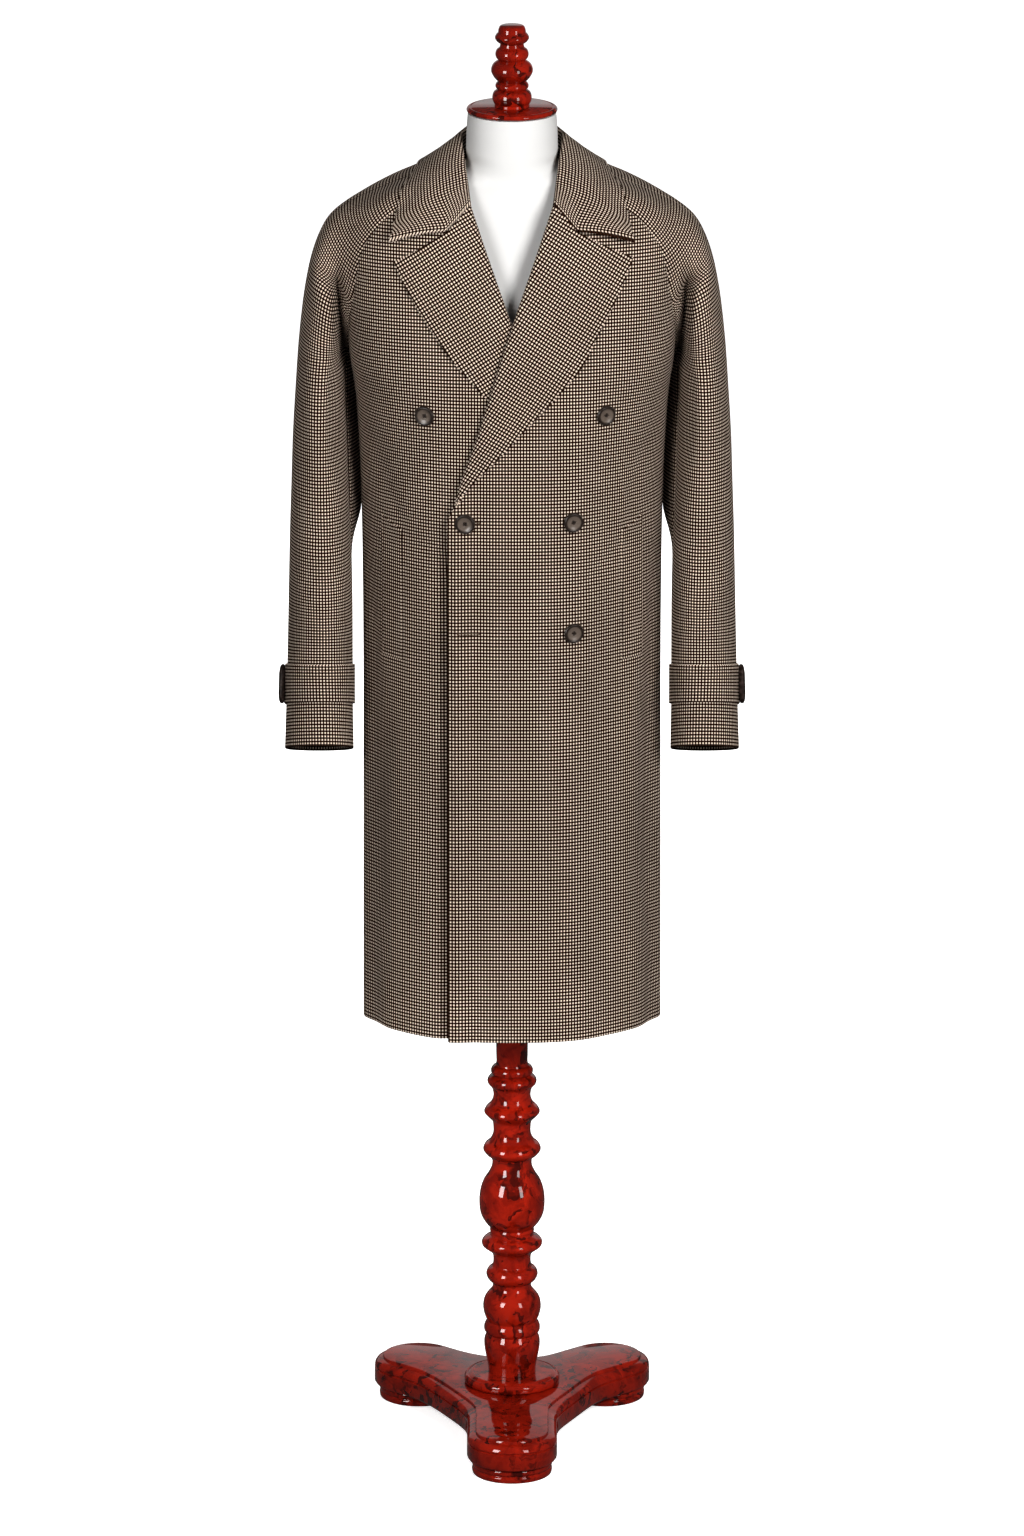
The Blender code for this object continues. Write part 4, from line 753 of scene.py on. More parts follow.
def blurred(values, times=2):
    for _ in range(times):
        wide = np.pad(values, 1, mode="edge")
        beside = wide[:-2, 1:-1] + wide[2:, 1:-1] + wide[1:-1, :-2] + wide[1:-1, 2:]
        values = (beside + 2 * values) / 6
    return values


def smooth_line(points, finer):
    """Smooth curve through points, with so many steps between each two."""
    run = np.concatenate(((0.0,), np.cumsum(np.linalg.norm(np.diff(points, axis=0), axis=1))))
    steps = [np.linspace(a, b, finer, endpoint=False) for a, b in zip(run, run[1:])]
    at = np.concatenate(steps + [run[-1:]])
    table = np.column_stack((run, points))
    return np.stack([curve(table, c + 1, at) for c in range(points.shape[1])], -1)


def ring_faces(rings, steps):
    """Faces of a stack of rings with as many points each, closed at both ends."""
    index = np.arange(rings * steps).reshape(rings, steps)
    on = np.roll(index, -1, axis=1)
    faces = np.stack((index[:-1], on[:-1], on[1:], index[1:]), -1).reshape(-1, 4).tolist()
    return faces + [tuple(index[0, ::-1]), tuple(index[-1])]


def turned(name, profile, look, finer=5, at=(0.0, 0.0), steps=72):
    """Turned piece through a profile of radius and height, about an axis at x and y.

    The profile is smooth but for the corners, which are the points that it gives twice.
    """
    runs = [[profile[0]]]
    for before, point in zip(profile, profile[1:]):
        if point == before:
            runs.append([point])
        else:
            runs[-1].append(point)
    lines = [smooth_line(np.array(run), finer) for run in runs]
    line = np.concatenate([part[:-1] for part in lines] + [lines[-1][-1:]])
    radius, z = np.maximum(line[:, 0], 0.0), line[:, 1]
    turn = np.linspace(0, 2 * math.pi, steps, endpoint=False)
    points = np.stack((radius[:, None] * np.cos(turn), radius[:, None] * np.sin(turn),
                       np.broadcast_to(z[:, None], (len(z), steps))), -1).reshape(-1, 3)
    return add_mesh(name, points + np.array((*at, 0.0)), ring_faces(len(z), steps), look, crisp=50)


# Materials

class Finish:
    """A material in the making: small helpers that add its nodes."""

    def __init__(self, name):
        self.material = bpy.data.materials.new(name)
        self.material.use_nodes = True
        self.nodes, self.links = self.material.node_tree.nodes, self.material.node_tree.links
        self.shader = self.nodes["Principled BSDF"]

    def node(self, kind, inputs=(), **settings):
        made = self.nodes.new(kind)
        for key, value in settings.items():
            setattr(made, key, value)
        for socket, value in dict(inputs).items():
            if isinstance(value, bpy.types.NodeSocket):
                self.links.new(value, made.inputs[socket])
            else:
                made.inputs[socket].default_value = value
        return made

    def math(self, operation, a, b=0.0):
        return self.node("ShaderNodeMath", {0: a, 1: b}, operation=operation).outputs[0]

    def soft_step(self, value, low, high):
        return self.node("ShaderNodeMapRange", {"Value": value, "From Min": low, "From Max": high},
                         interpolation_type="SMOOTHSTEP").outputs["Result"]

    def mix(self, share, a, b, blend_type="MIX"):
        return self.node("ShaderNodeMix", {0: share, 6: a, 7: b}, data_type="RGBA",
                         blend_type=blend_type).outputs[2]

    def noise(self, vector, scale, detail=3.0, rough=0.55):
        return self.node("ShaderNodeTexNoise", {"Vector": vector, "Scale": scale, "Detail": detail,
                                                "Roughness": rough}).outputs["Fac"]

    def object_place(self):
        return self.node("ShaderNodeTexCoord").outputs["Object"]

    def bump(self, height, strength, distance):
        made = self.node("ShaderNodeBump", {"Height": height, "Strength": strength, "Distance": distance})
        self.links.new(made.outputs["Normal"], self.shader.inputs["Normal"])

    def colour(self, socket):
        self.links.new(socket, self.shader.inputs["Base Color"])

    def set(self, **values):
        for key, value in values.items():
            self.shader.inputs[key.replace("_", " ")].default_value = value


def wool_check():
    """Small check of cream and brown yarns, woven in twill, that follows the cut of each piece."""
    coat = bpy.context.scene.overcoat
    look = Finish("wool check")
    weave = look.node("ShaderNodeUVMap", uv_map="weave").outputs["UV"]
    place = look.node("ShaderNodeSeparateXYZ", {0: weave})
    across, up = place.outputs[0], place.outputs[1]
    warp = look.math("SINE", look.math("MULTIPLY", across, 2 * math.pi / coat.check_wide))
    weft = look.math("SINE", look.math("MULTIPLY", up, 2 * math.pi / coat.check_high))
    warp, weft = look.soft_step(warp, -0.30, 0.30), look.soft_step(weft, -0.30, 0.30)
    cream = look.math("MULTIPLY", warp, weft)
    mid = look.math("SUBTRACT", look.math("ADD", warp, weft), look.math("MULTIPLY", cream, 2.0))
    slant = look.math("ADD", across, up)
    twill = look.math("SINE", look.math("MULTIPLY", slant, 2 * math.pi / (coat.check_wide / 2)))
    fibre = look.noise(weave, 1500.0, 2.0, 0.6)
    cloud = look.noise(weave, 14.0, 3.0, 0.5)
    base = look.mix(mid, (*coat.dark_yarn, 1), (*coat.mid_yarn, 1))
    base = look.mix(cream, base, (*coat.cream_yarn, 1))
    grey = look.math("ADD", look.math("MULTIPLY", fibre, 0.55), look.math("MULTIPLY", cloud, 0.30))
    grey = look.math("ADD", look.math("ADD", grey, 0.575), look.math("MULTIPLY", twill, 0.06))
    look.colour(look.mix(1.0, base, grey, "MULTIPLY"))
    relief = look.math("ADD", look.math("MULTIPLY", twill, 0.5), fibre)
    look.bump(relief, 0.30, 0.0004)
    look.set(Roughness=0.9, Sheen_Weight=0.015, Sheen_Roughness=0.5, Specular_IOR_Level=0.03)
    return look.material


def dark_horn():
    """Polished brown horn with streaks. Its face is painted paler than its rim, as painted light on the face
    and painted shade on the rim, and the middle round the holes is painted dark as painted shade.
    """
    coat = bpy.context.scene.overcoat
    look = Finish("dark horn")
    place = look.object_place()
    drawn = look.node("ShaderNodeMapping", {0: place, 3: (60, 60, 220)}).outputs[0]
    streak = look.soft_step(look.noise(drawn, 4.0, 4.0, 0.6), 0.38, 0.70)
    across = look.node("ShaderNodeUVMap", uv_map="weave").outputs["UV"]
    off_middle = look.node("ShaderNodeSeparateXYZ", {0: across}).outputs[0]
    # Painted light and shade: the face is painted paler than the rim, as the lamps light the face and leave
    # the rim in shade; the streaks are the horn's grain.
    face = look.soft_step(off_middle, 0.0098, 0.0078)
    face = look.math("MULTIPLY", face, look.math("ADD", 0.72, look.math("MULTIPLY", streak, 0.28)))
    # Painted shade: the middle round the four holes is painted in the dark rim colour, for the shade in the
    # sunk holes and for the thread through them.
    face = look.math("MULTIPLY", face, look.soft_step(off_middle, 0.0014, 0.0034))
    look.colour(look.mix(face, (*coat.horn, 1), (*coat.horn_face_painted_light, 1)))
    look.bump(look.noise(place, 700.0), 0.05, 0.0003)
    look.set(Roughness=0.30, Specular_IOR_Level=0.45)
    return look.material


def mottled_leather():
    """Dark brown leather with a pebbled grain and worn, paler spots."""
    look = Finish("mottled leather")
    place = look.object_place()
    colour = bpy.context.scene.overcoat.leather
    pale = [min(1.0, 3.2 * c + 0.015) for c in colour]
    look.colour(look.mix(look.soft_step(look.noise(place, 190.0, 4.0), 0.45, 0.72), (*colour, 1), (*pale, 1)))
    grain = look.node("ShaderNodeTexVoronoi", {"Vector": place, "Scale": 900.0}).outputs["Distance"]
    look.bump(grain, 0.35, 0.0004)
    look.set(Roughness=0.42, Specular_IOR_Level=0.12)
    return look.material


def form_cover():
    """Smooth white jersey cover with a fine rib."""
    look = Finish("form cover")
    place = look.object_place()
    parts = look.node("ShaderNodeSeparateXYZ", {0: place})
    rib = look.math("SINE", look.math("MULTIPLY", parts.outputs[0], 2 * math.pi / 0.0016))
    course = look.math("SINE", look.math("MULTIPLY", parts.outputs[2], 2 * math.pi / 0.0013))
    knit = look.math("MULTIPLY", rib, course)
    colour = bpy.context.scene.overcoat.cover
    shade = [0.93 * c for c in colour]
    cloud = look.math("ADD", look.noise(place, 9.0), look.math("MULTIPLY", knit, 0.05))
    look.colour(look.mix(cloud, (*shade, 1), (*colour, 1)))
    look.bump(knit, 0.12, 0.0002)
    look.set(Roughness=0.80, Specular_IOR_Level=0.1)
    return look.material


def burl_lacquer():
    """Red lacquer over burl: clouded reds, dark flecks and a deep gloss."""
    coat = bpy.context.scene.overcoat
    look = Finish("red burl lacquer")
    place = look.object_place()
    wander = look.node("ShaderNodeTexNoise", {"Vector": place, "Scale": 22.0, "Detail": 3.0})
    bent = look.node("ShaderNodeVectorMath", {0: wander.outputs["Color"], 1: (0.09, 0.09, 0.09)},
                     operation="MULTIPLY").outputs[0]
    place = look.node("ShaderNodeVectorMath", {0: place, 1: bent}, operation="ADD").outputs[0]
    cloud = look.noise(place, 34.0, 5.0, 0.6)
    cells = look.node("ShaderNodeTexVoronoi", {"Vector": place, "Scale": 85.0}).outputs["Color"]
    patch = look.math("ADD", look.math("MULTIPLY", look.noise(place, 62.0, 4.0, 0.55), 0.6),
                      look.math("MULTIPLY", cells, 0.42))
    fleck = look.noise(place, 80.0, 5.0, 0.62)
    red = look.mix(look.soft_step(cloud, 0.36, 0.62), (*coat.lacquer_deep, 1), (*coat.lacquer, 1))
    red = look.mix(look.soft_step(patch, 0.54, 0.70), red, (*coat.lacquer_dark, 1))
    black = look.math("MULTIPLY", look.soft_step(fleck, 0.61, 0.74), look.soft_step(cloud, 0.60, 0.42))
    look.colour(look.mix(look.math("MULTIPLY", black, 0.6), red, (0.010, 0.003, 0.002, 1)))
    look.bump(look.noise(place, 260.0), 0.02, 0.0004)
    look.set(Roughness=0.5, Coat_Weight=0.9, Coat_Roughness=0.025, Specular_IOR_Level=0.0)
    return look.material


def sewing_thread():
    """Matte brown thread, close to the cloth's own tone."""
    look = Finish("sewing thread")
    shade = look.noise(look.object_place(), 900.0)
    dark = bpy.context.scene.overcoat.thread
    pale = [1.7 * c for c in dark]
    look.colour(look.mix(shade, (*dark, 1), (*pale, 1)))
    look.set(Roughness=0.8, Specular_IOR_Level=0.05)
    return look.material


LOOKS = {}


def look_of(maker):
    """The one material that a maker function builds, made on first use."""
    if maker.__name__ not in LOOKS:
        LOOKS[maker.__name__] = maker()
    return LOOKS[maker.__name__]


# What a user may change

def a_length(name, description, default):
    return FloatProperty(name=name, description=description, default=default, unit="LENGTH")


def a_colour(name, description, default):
    return FloatVectorProperty(name=name, description=description, default=default, subtype="COLOR")


class OvercoatSettings(bpy.types.PropertyGroup):
    """Sizes and colours of the overcoat, its form and its stand."""

    check_wide: a_length("Check width", "Repeat of the check across the cloth", 0.00376)
    check_high: a_length("Check height", "Repeat of the check along the cloth", 0.00436)
    stitch_pitch: a_length("Stitch pitch", "Distance between edge stitches", 0.0052)
    stitch_long: a_length("Stitch length", "Length of an edge stitch that shows", 0.0019)
    dark_yarn: a_colour("Dark yarn", "Colour where two dark yarns cross", (0.0082, 0.0032, 0.0016))
    mid_yarn: a_colour("Mixed yarn", "Colour where dark and cream yarns cross", (0.040, 0.0170, 0.0088))
    cream_yarn: a_colour("Cream yarn", "Colour where two cream yarns cross", (0.76, 0.643, 0.535))
    # The paler faces and darker rims of the buttons are painted light and painted shade.
    horn: a_colour("Horn rim", "Colour of the rims of the buttons", (0.020, 0.0125, 0.0090))
    horn_face_painted_light: a_colour("Horn face", "Colour of the faces of the buttons", (0.150, 0.118, 0.096))
    leather: a_colour("Leather", "Colour of the cuff buckles", (0.014, 0.008, 0.006))
    thread: a_colour("Thread", "Colour of the sewing thread", (0.062, 0.040, 0.028))
    cover: a_colour("Form cover", "Colour of the dress form", (0.70, 0.695, 0.685))
    lacquer: a_colour("Lacquer", "Brightest red of the stand", (0.31, 0.0140, 0.0038))
    lacquer_deep: a_colour("Deep lacquer", "Common red of the stand", (0.19, 0.0076, 0.0021))
    lacquer_dark: a_colour("Dark lacquer", "Dark patches of the stand", (0.058, 0.0028, 0.0011))


# Operators, one for each piece or group of like pieces

SIDES = (("left", 1), ("right", -1))
made = {}
grids = {}


def add_cloth(node, grid, thick, rounded):
    """A cut piece of the coat: its shell, its flat cut, and both kept for what lies on it."""
    made[node], grids[node] = cloth_shell(node, grid, thick, rounded), grid


class OVERCOAT_OT_panels(bpy.types.Operator):
    """Cut the two fronts and the back, with their folds and seams"""
    bl_idname = "overcoat.panels"
    bl_label = "Fronts and back"

    def execute(self, context):
        for label, side in SIDES:
            add_cloth(f"front_{label}", front_grid(side), CLOTH, ("low", "last"))
        add_cloth("back", back_grid(), CLOTH, ("low",))
        return {"FINISHED"}


class OVERCOAT_OT_sleeves(bpy.types.Operator):
    """Cut the front and back halves of both raglan sleeves"""
    bl_idname = "overcoat.sleeves"
    bl_label = "Sleeves"

    def execute(self, context):
        for label, side in SIDES:
            for half, face in (("front", -1), ("back", 1)):
                add_cloth(f"sleeve_{label}_{half}", sleeve_grid(side, face), CLOTH, ("high",))
        return {"FINISHED"}


def lapel_grid(side):
    """Outer points, normals and cut places of a lapel, break to gorge, roll to outer edge."""
    low, high = (LAPEL_LOW if side > 0 else UNDER_LAPEL_LOW), LAPEL[-1, 0] - LAPEL_TOP_GAP
    shares = np.concatenate((0.01 * np.arange(1, 4), np.linspace(0.045, 0.955, 24), (0.97, 0.985, 1.0)))
    arc = np.radians(np.linspace(-8, 76, 9))
    column = 3 if side > 0 else 5
    outer, cut = [], []
    for z_roll in low + (high - low) * with_close_ends(64, high - low):
        roll = np.array((roll_x(z_roll) + ROLL_INSET, z_roll))
        edge = np.array((curve(LAPEL, column, z_roll), curve(LAPEL, column - 1, z_roll)))
        start, direction, tucked = roll, unit(edge - roll), False
        if side < 0:
            line = roll + (edge - roll) * np.linspace(0, 1, 81)[:, None]
            start = line[np.argmax(line[:, 0] >= -roll_x(line[:, 1]) - UNDER_TUCK)]
            tucked = roll_x(z_roll) < 0
        top = ease((z_roll - GORGE_FROM) / (LAPEL[-1, 0] - GORGE_FROM))
        tent = np.where(shares < GORGE_SHARE, shares / GORGE_SHARE, (1 - shares) / GORGE_REST)
        flat = start + (edge - start) * shares[:, None]
        if not tucked:
            bend = np.array((GORGE_X, GORGE_Z)) - (roll + (edge - roll) * GORGE_SHARE)
            flat = flat + bend * (top * tent)[:, None]
        wide = np.linalg.norm(edge - start)
        bloom = LAPEL_BLOOM * np.sin(math.pi * np.minimum(shares / 0.7, 1.0)) * min(1.0, wide / 0.08)
        bloom = bloom + 0.0012 * ease((shares - 0.72) / 0.28) * min(1.0, wide / 0.05)
        if side < 0:
            bloom = bloom * ease((flat[:, 0] + roll_x(flat[:, 1])) / 0.05)
        lying, ups = on_front(side, flat[:, 0], flat[:, 1], LAY + FACED + bloom)
        ends, end_ups = on_front(side, *(start + direction * np.array((SEAT_IN, 0.010))[:, None]).T, 0.0)
        seat, up, into = ends[0], end_ups[0], unit(ends[1] - ends[0])
        rim = CLOTH / 2
        centre = seat + into * (rim - SEAT_IN) - up * rim
        radius = rim + ROLL_SPACE + FACED
        rolled = centre + (np.sin(arc)[:, None] * up - np.cos(arc)[:, None] * into) * radius
        if tucked:
            rolled = seat - into * TUCK_STEP * np.arange(len(arc), 0, -1)[:, None] + up * (LAY + FACED)
        outer.append(np.concatenate((rolled, lying)))
        places = cut_place(side * angle_of(flat[:, 0], flat[:, 1]), flat[:, 1])
        first = places[0] - (places[1] - places[0]) / np.linalg.norm(places[1] - places[0]) * (
            radius * (arc[-1] - arc)[:, None] + SEAT_IN)
        cut.append(np.concatenate((first, places)))
    outer, cut = np.array(outer), np.array(cut)
    normals = grid_normals(outer)
    normals *= np.sign((normals * ups[-1]).sum(-1)[len(outer) // 2, -8])
    s, c = math.sin(math.radians(side * LAPEL_GRAIN)), math.cos(math.radians(LAPEL_GRAIN))
    cut = np.stack((cut[..., 0] * c - cut[..., 1] * s, cut[..., 0] * s + cut[..., 1] * c), -1)
    return outer, normals, cut


class OVERCOAT_OT_lapels(bpy.types.Operator):
    """Roll the lapels back over the fronts"""
    bl_idname = "overcoat.lapels"
    bl_label = "Lapels"

    def execute(self, context):
        for label, side in SIDES:
            add_cloth(f"lapel_{label}", lapel_grid(side), FACED, ("low", "high", "last"))
        return {"FINISHED"}


def collar_grid(under):
    """Outer points, normals and cut places of the collar, end to end, stand to outer edge."""
    place = np.linspace(-1, 1, COLLAR_STEPS)
    mirror = np.stack((np.where(place >= 0, 1, -1), np.ones(COLLAR_STEPS), np.ones(COLLAR_STEPS)), -1)
    where = (1 - np.abs(place)) * (len(COLLAR) - 1)
    beyond = COLLAR[-2] * np.array((-1, 1, 1, -1, 1, 1, 1, 1))
    table = np.vstack((COLLAR, beyond))
    value = np.stack([by_row(table, c, where) for c in range(8)], -1)
    roll, edge, stand, swell = value[:, :3], value[:, 3:6], value[:, 6:7], value[:, 7:8]
    inward = unit(-roll * (1, 1, 0) - np.array((0, 0.002, 0)))
    ahead = np.stack([by_row(table, c, where + 0.1) - by_row(table, c, np.maximum(where - 0.1, 0))
                      for c in range(3)], -1)
    up = unit(np.cross(ahead, unit(edge - roll)))
    up = up * np.sign(up[:, 2:])
    upright = np.array((0.0, 0.0, 1.0))
    lines = [roll + inward * COLLAR_FOLD - upright * (COLLAR_FOLD + stand * share)
             for share in np.linspace(1, 0, 7)]
    for turn in np.radians(np.linspace(15, 90, 6)):
        lines.append(roll + inward * COLLAR_FOLD * math.cos(turn)
                     - upright * COLLAR_FOLD * (1 - math.sin(turn)))
    gorge = np.array((GORGE_X, COLLAR[0, 1] - GORGE_AHEAD, GORGE_Z + GORGE_ABOVE))
    bend = (gorge - (roll + (edge - roll) * COLLAR_SHARE)) * ((1 - ease(where)) * (where < 1))[:, None]
    first = len(lines)
    shares = np.concatenate((np.linspace(0.035, 0.95, 26), (0.972, 0.988, 1.0)))
    for share in shares:
        tent = share / COLLAR_SHARE if share < COLLAR_SHARE else (1 - share) / COLLAR_REST
        lines.append(roll + (edge - roll) * share + up * swell * math.sin(math.pi * share) + bend * tent)
    points = np.stack(lines, 1) * mirror[:, None, :]
    up = up * mirror
    for _ in range(2):
        lift = np.zeros(points.shape[:2])
        for r in range(len(points)):
            for c in range(first, points.shape[1]):
                height = height_over(under, points[r, c], up[r])
                if height is not None:
                    lift[r, c] = max(0.0, FACED + COLLAR_LAY - height)
        points = points + up[:, None, :] * np.maximum(lift, blurred(lift, 6))[..., None]
    normals = grid_normals(points)
    normals *= np.sign(normals[:, first + 2:, 2].mean())
    along = np.cumsum(np.pad(np.linalg.norm(np.diff(points[:, first + 8], axis=0), axis=1), (1, 0)))
    cut = np.stack((np.broadcast_to(along[:, None], lift.shape), run_lengths(points, 1)), -1)
    return points, normals, cut


class OVERCOAT_OT_collar(bpy.types.Operator):
    """Fold the collar round the neck and lay its fall on the shoulders"""
    bl_idname = "overcoat.collar"
    bl_label = "Collar"

    def execute(self, context):
        under = search_tree(*(piece for name, piece in made.items()
                              if name.startswith(("front_", "back", "sleeve_"))))
        add_cloth("collar", collar_grid(under), FACED, ("low", "high", "last"))
        return {"FINISHED"}


def welt_grid(side):
    """Outer points, normals and cut places of a pocket welt, with its mouth standing a little open."""
    share = with_close_ends(14, 0.05)[None, :]
    angle = WELT_INNER + (WELT_OUTER - WELT_INNER) * share
    top = WELT_INNER_TOP + (WELT_OUTER_TOP - WELT_INNER_TOP) * share
    rise = with_close_ends(40, 0.17)[:, None]
    z = WELT_BOTTOM + (top - WELT_BOTTOM) * rise
    angle = np.broadcast_to(angle, z.shape)
    mouth = 0.0007 * ease((share - 0.5) / 0.5) * ease(rise * 6) * ease((1 - rise) * 6)
    outer, normals = front_surface(side, angle, z, WELT_LAY + WELT + mouth)
    return outer, normals, cut_place(side * angle, z)


class OVERCOAT_OT_pockets(bpy.types.Operator):
    """Lay the pocket welts on the fronts, their check in step with the panel's"""
    bl_idname = "overcoat.pockets"
    bl_label = "Pocket welts"

    def execute(self, context):
        for label, side in SIDES:
            add_cloth(f"pocket_welt_{label}", welt_grid(side), WELT, ("low", "high", "first", "last"))
        return {"FINISHED"}


def strap_grid(side):
    """Outer points, normals and cut places of a cuff strap, back end round the overarm to the underarm."""
    z = STRAP_LOW + (STRAP_HIGH - STRAP_LOW) * with_close_ends(12, STRAP_HIGH - STRAP_LOW)
    back = arm_part(z, 1, np.linspace(STRAP_END, 0.03, 22))
    front = arm_part(z, -1, np.concatenate((np.linspace(0, 0.97, 40), (0.985, 1.0))))
    base = np.concatenate((back, front), axis=1)
    normals = grid_normals(base)
    normals *= -np.sign(normals[len(z) // 2, 40, 1])
    full = arm_part(np.linspace(ARM_TOP, STRAP_LOW, 30), 1, np.zeros(1))
    down = np.linalg.norm(np.diff(full[:, 0], axis=0), axis=1).sum()
    across = run_lengths(base, 1)
    cut = np.stack((across, np.broadcast_to((z - STRAP_LOW)[:, None] - down, across.shape)), -1)
    mirror = np.array((side, 1, 1))
    return (base + normals * (STRAP_GAP + STRAP)) * mirror, normals * mirror, cut


def buckle_mesh(name, side):
    """Rounded frame of covered leather on the strap at the outer side of a sleeve."""
    middle = 0.5 * (STRAP_LOW + STRAP_HIGH)
    ridge = arm_part(np.array((STRAP_LOW, middle, STRAP_HIGH)), -1, np.zeros(1))[:, 0]
    slope = (ridge[2] - ridge[0])[0] / (STRAP_HIGH - STRAP_LOW)
    tilt = math.atan(CUFF_TILT * float(ease((TILT_FROM - middle) / (TILT_FROM - TILT_FULL))))
    corner, around, square = 0.011, 20, 0.62
    turns = np.linspace(0, 2 * math.pi, around, endpoint=False)
    bar = np.sign(np.cos(turns)) * np.abs(np.cos(turns)) ** square
    rise = np.sign(np.sin(turns)) * np.abs(np.sin(turns)) ** square
    radius = corner - BUCKLE_BAR / 2 + bar * BUCKLE_BAR / 2
    points = []
    for quarter in range(4):
        for turn in np.radians(90 * quarter + np.linspace(0, 90, 9)):
            centre_y = (BUCKLE_WIDE / 2 - corner) * (1 if quarter in (0, 3) else -1)
            centre_z = (BUCKLE_HIGH / 2 - corner) * (1 if quarter in (0, 1) else -1)
            y, z = centre_y + math.cos(turn) * radius, centre_z + math.sin(turn) * radius
            thick = BUCKLE_THICK * (1 - BUCKLE_TAPER * (2 * z / BUCKLE_HIGH) ** 2)
            height = STRAP_GAP * 2 + STRAP + (rise + 1) / 2 * thick - BUCKLE_BEND * y**2
            y, z = y * math.cos(tilt) + z * math.sin(tilt), -y * math.sin(tilt) + z * math.cos(tilt)
            x = side * (ridge[1, 0] + slope * z + height)
            points.append(np.stack((x, ridge[1, 1] + y, middle + z), -1))
    count = len(points)
    index = np.arange(count * around).reshape(count, around)
    on, beside = np.roll(index, -1, axis=0), np.roll(index, -1, axis=1)
    faces = np.stack((index, on, np.roll(on, -1, axis=1), beside), -1).reshape(-1, 4)
    if side > 0:
        faces = faces[:, ::-1]
    return add_mesh(name, np.concatenate(points), faces.tolist(), look_of(mottled_leather))


class OVERCOAT_OT_cuffs(bpy.types.Operator):
    """Lay the straps round the cuffs and set a covered buckle on each"""
    bl_idname = "overcoat.cuffs"
    bl_label = "Cuff straps and buckles"

    def execute(self, context):
        for label, side in SIDES:
            add_cloth(f"cuff_strap_{label}", strap_grid(side), STRAP, ("low", "high", "first"))
            settle_in(buckle_mesh(f"buckle_{label}_covered", side), "leather", f"cuff_buckle_{label}")
        return {"FINISHED"}


def seat_on_front(x, z):
    """A seat on the fronts at x and z: its middle, its across and up directions and its normal."""
    side = 1 if x > -0.0775 else -1
    points, normals = on_front(side, np.array((x * side,)), np.array((z,)), LAY)
    normal = normals[0]
    across = unit(np.cross((0.0, 0.0, 1.0), normal))
    return points[0], across, np.cross(normal, across), normal


def button_mesh(name, x, z, turn):
    """Dished horn button with four holes."""
    seat, across, upward, normal = seat_on_front(x, z)
    radius, height = smooth_line(np.array(BUTTON), 7).T
    steps = 64
    angle = np.linspace(0, 2 * math.pi, steps, endpoint=False) + math.radians(turn)
    px, py = radius[:, None] * np.cos(angle), radius[:, None] * np.sin(angle)
    pz = np.broadcast_to(height[:, None], px.shape).copy()
    for hole in range(4):
        spot = math.radians(turn + 45 + 90 * hole)
        off = np.hypot(px - BUTTON_HOLES * math.cos(spot), py - BUTTON_HOLES * math.sin(spot))
        inside = (np.arange(len(radius)) < HOLE_RINGS)[:, None]
        pz -= HOLE_DEEP * ease((BUTTON_HOLE * 1.35 - off) / (BUTTON_HOLE * 0.7)) * inside
    points = (seat + px[..., None] * across + py[..., None] * upward + pz[..., None] * normal).reshape(-1, 3)
    index = np.arange(len(radius) * steps).reshape(len(radius), steps)
    on = np.roll(index, -1, axis=1)
    faces = np.stack((index[1:-1], index[2:], on[2:], on[1:-1]), -1).reshape(-1, 4).tolist()
    faces += [(int(index[0, 0]), int(a), int(b)) for a, b in zip(index[1], on[1])]
    faces += [tuple(int(i) for i in index[-1, ::-1])]
    same = np.arange(1, steps)
    points = np.delete(points, same, axis=0)
    off_middle = np.delete(np.stack((np.hypot(px, py), pz), -1).reshape(-1, 2), same, axis=0)
    faces = [tuple(max(0, i - steps + 1) if i else 0 for i in face) for face in faces]
    return add_mesh(name, points, faces, look_of(dark_horn), off_middle, crisp=60)


class OVERCOAT_OT_buttons(bpy.types.Operator):
    """Sew the five horn buttons on the fronts"""
    bl_idname = "overcoat.buttons"
    bl_label = "Buttons"

    def execute(self, context):
        for number, (x, z, turn) in enumerate(BUTTONS, 1):
            settle_in(button_mesh(f"button_{number}_horn", x, z, turn), "horn", f"button_{number}")
        return {"FINISHED"}


# Sewing: stitches along paths, by Geometry Nodes

EDGE_INSET, SMALL_INSET = 0.006, 0.005   # edge stitches lie this far in; on welts and straps
THREAD_LIFT = 0.0001
STITCH_INPUTS = (("Pitch", 0.005), ("Along", 0.002), ("Across", 0.0005), ("High", 0.0004))


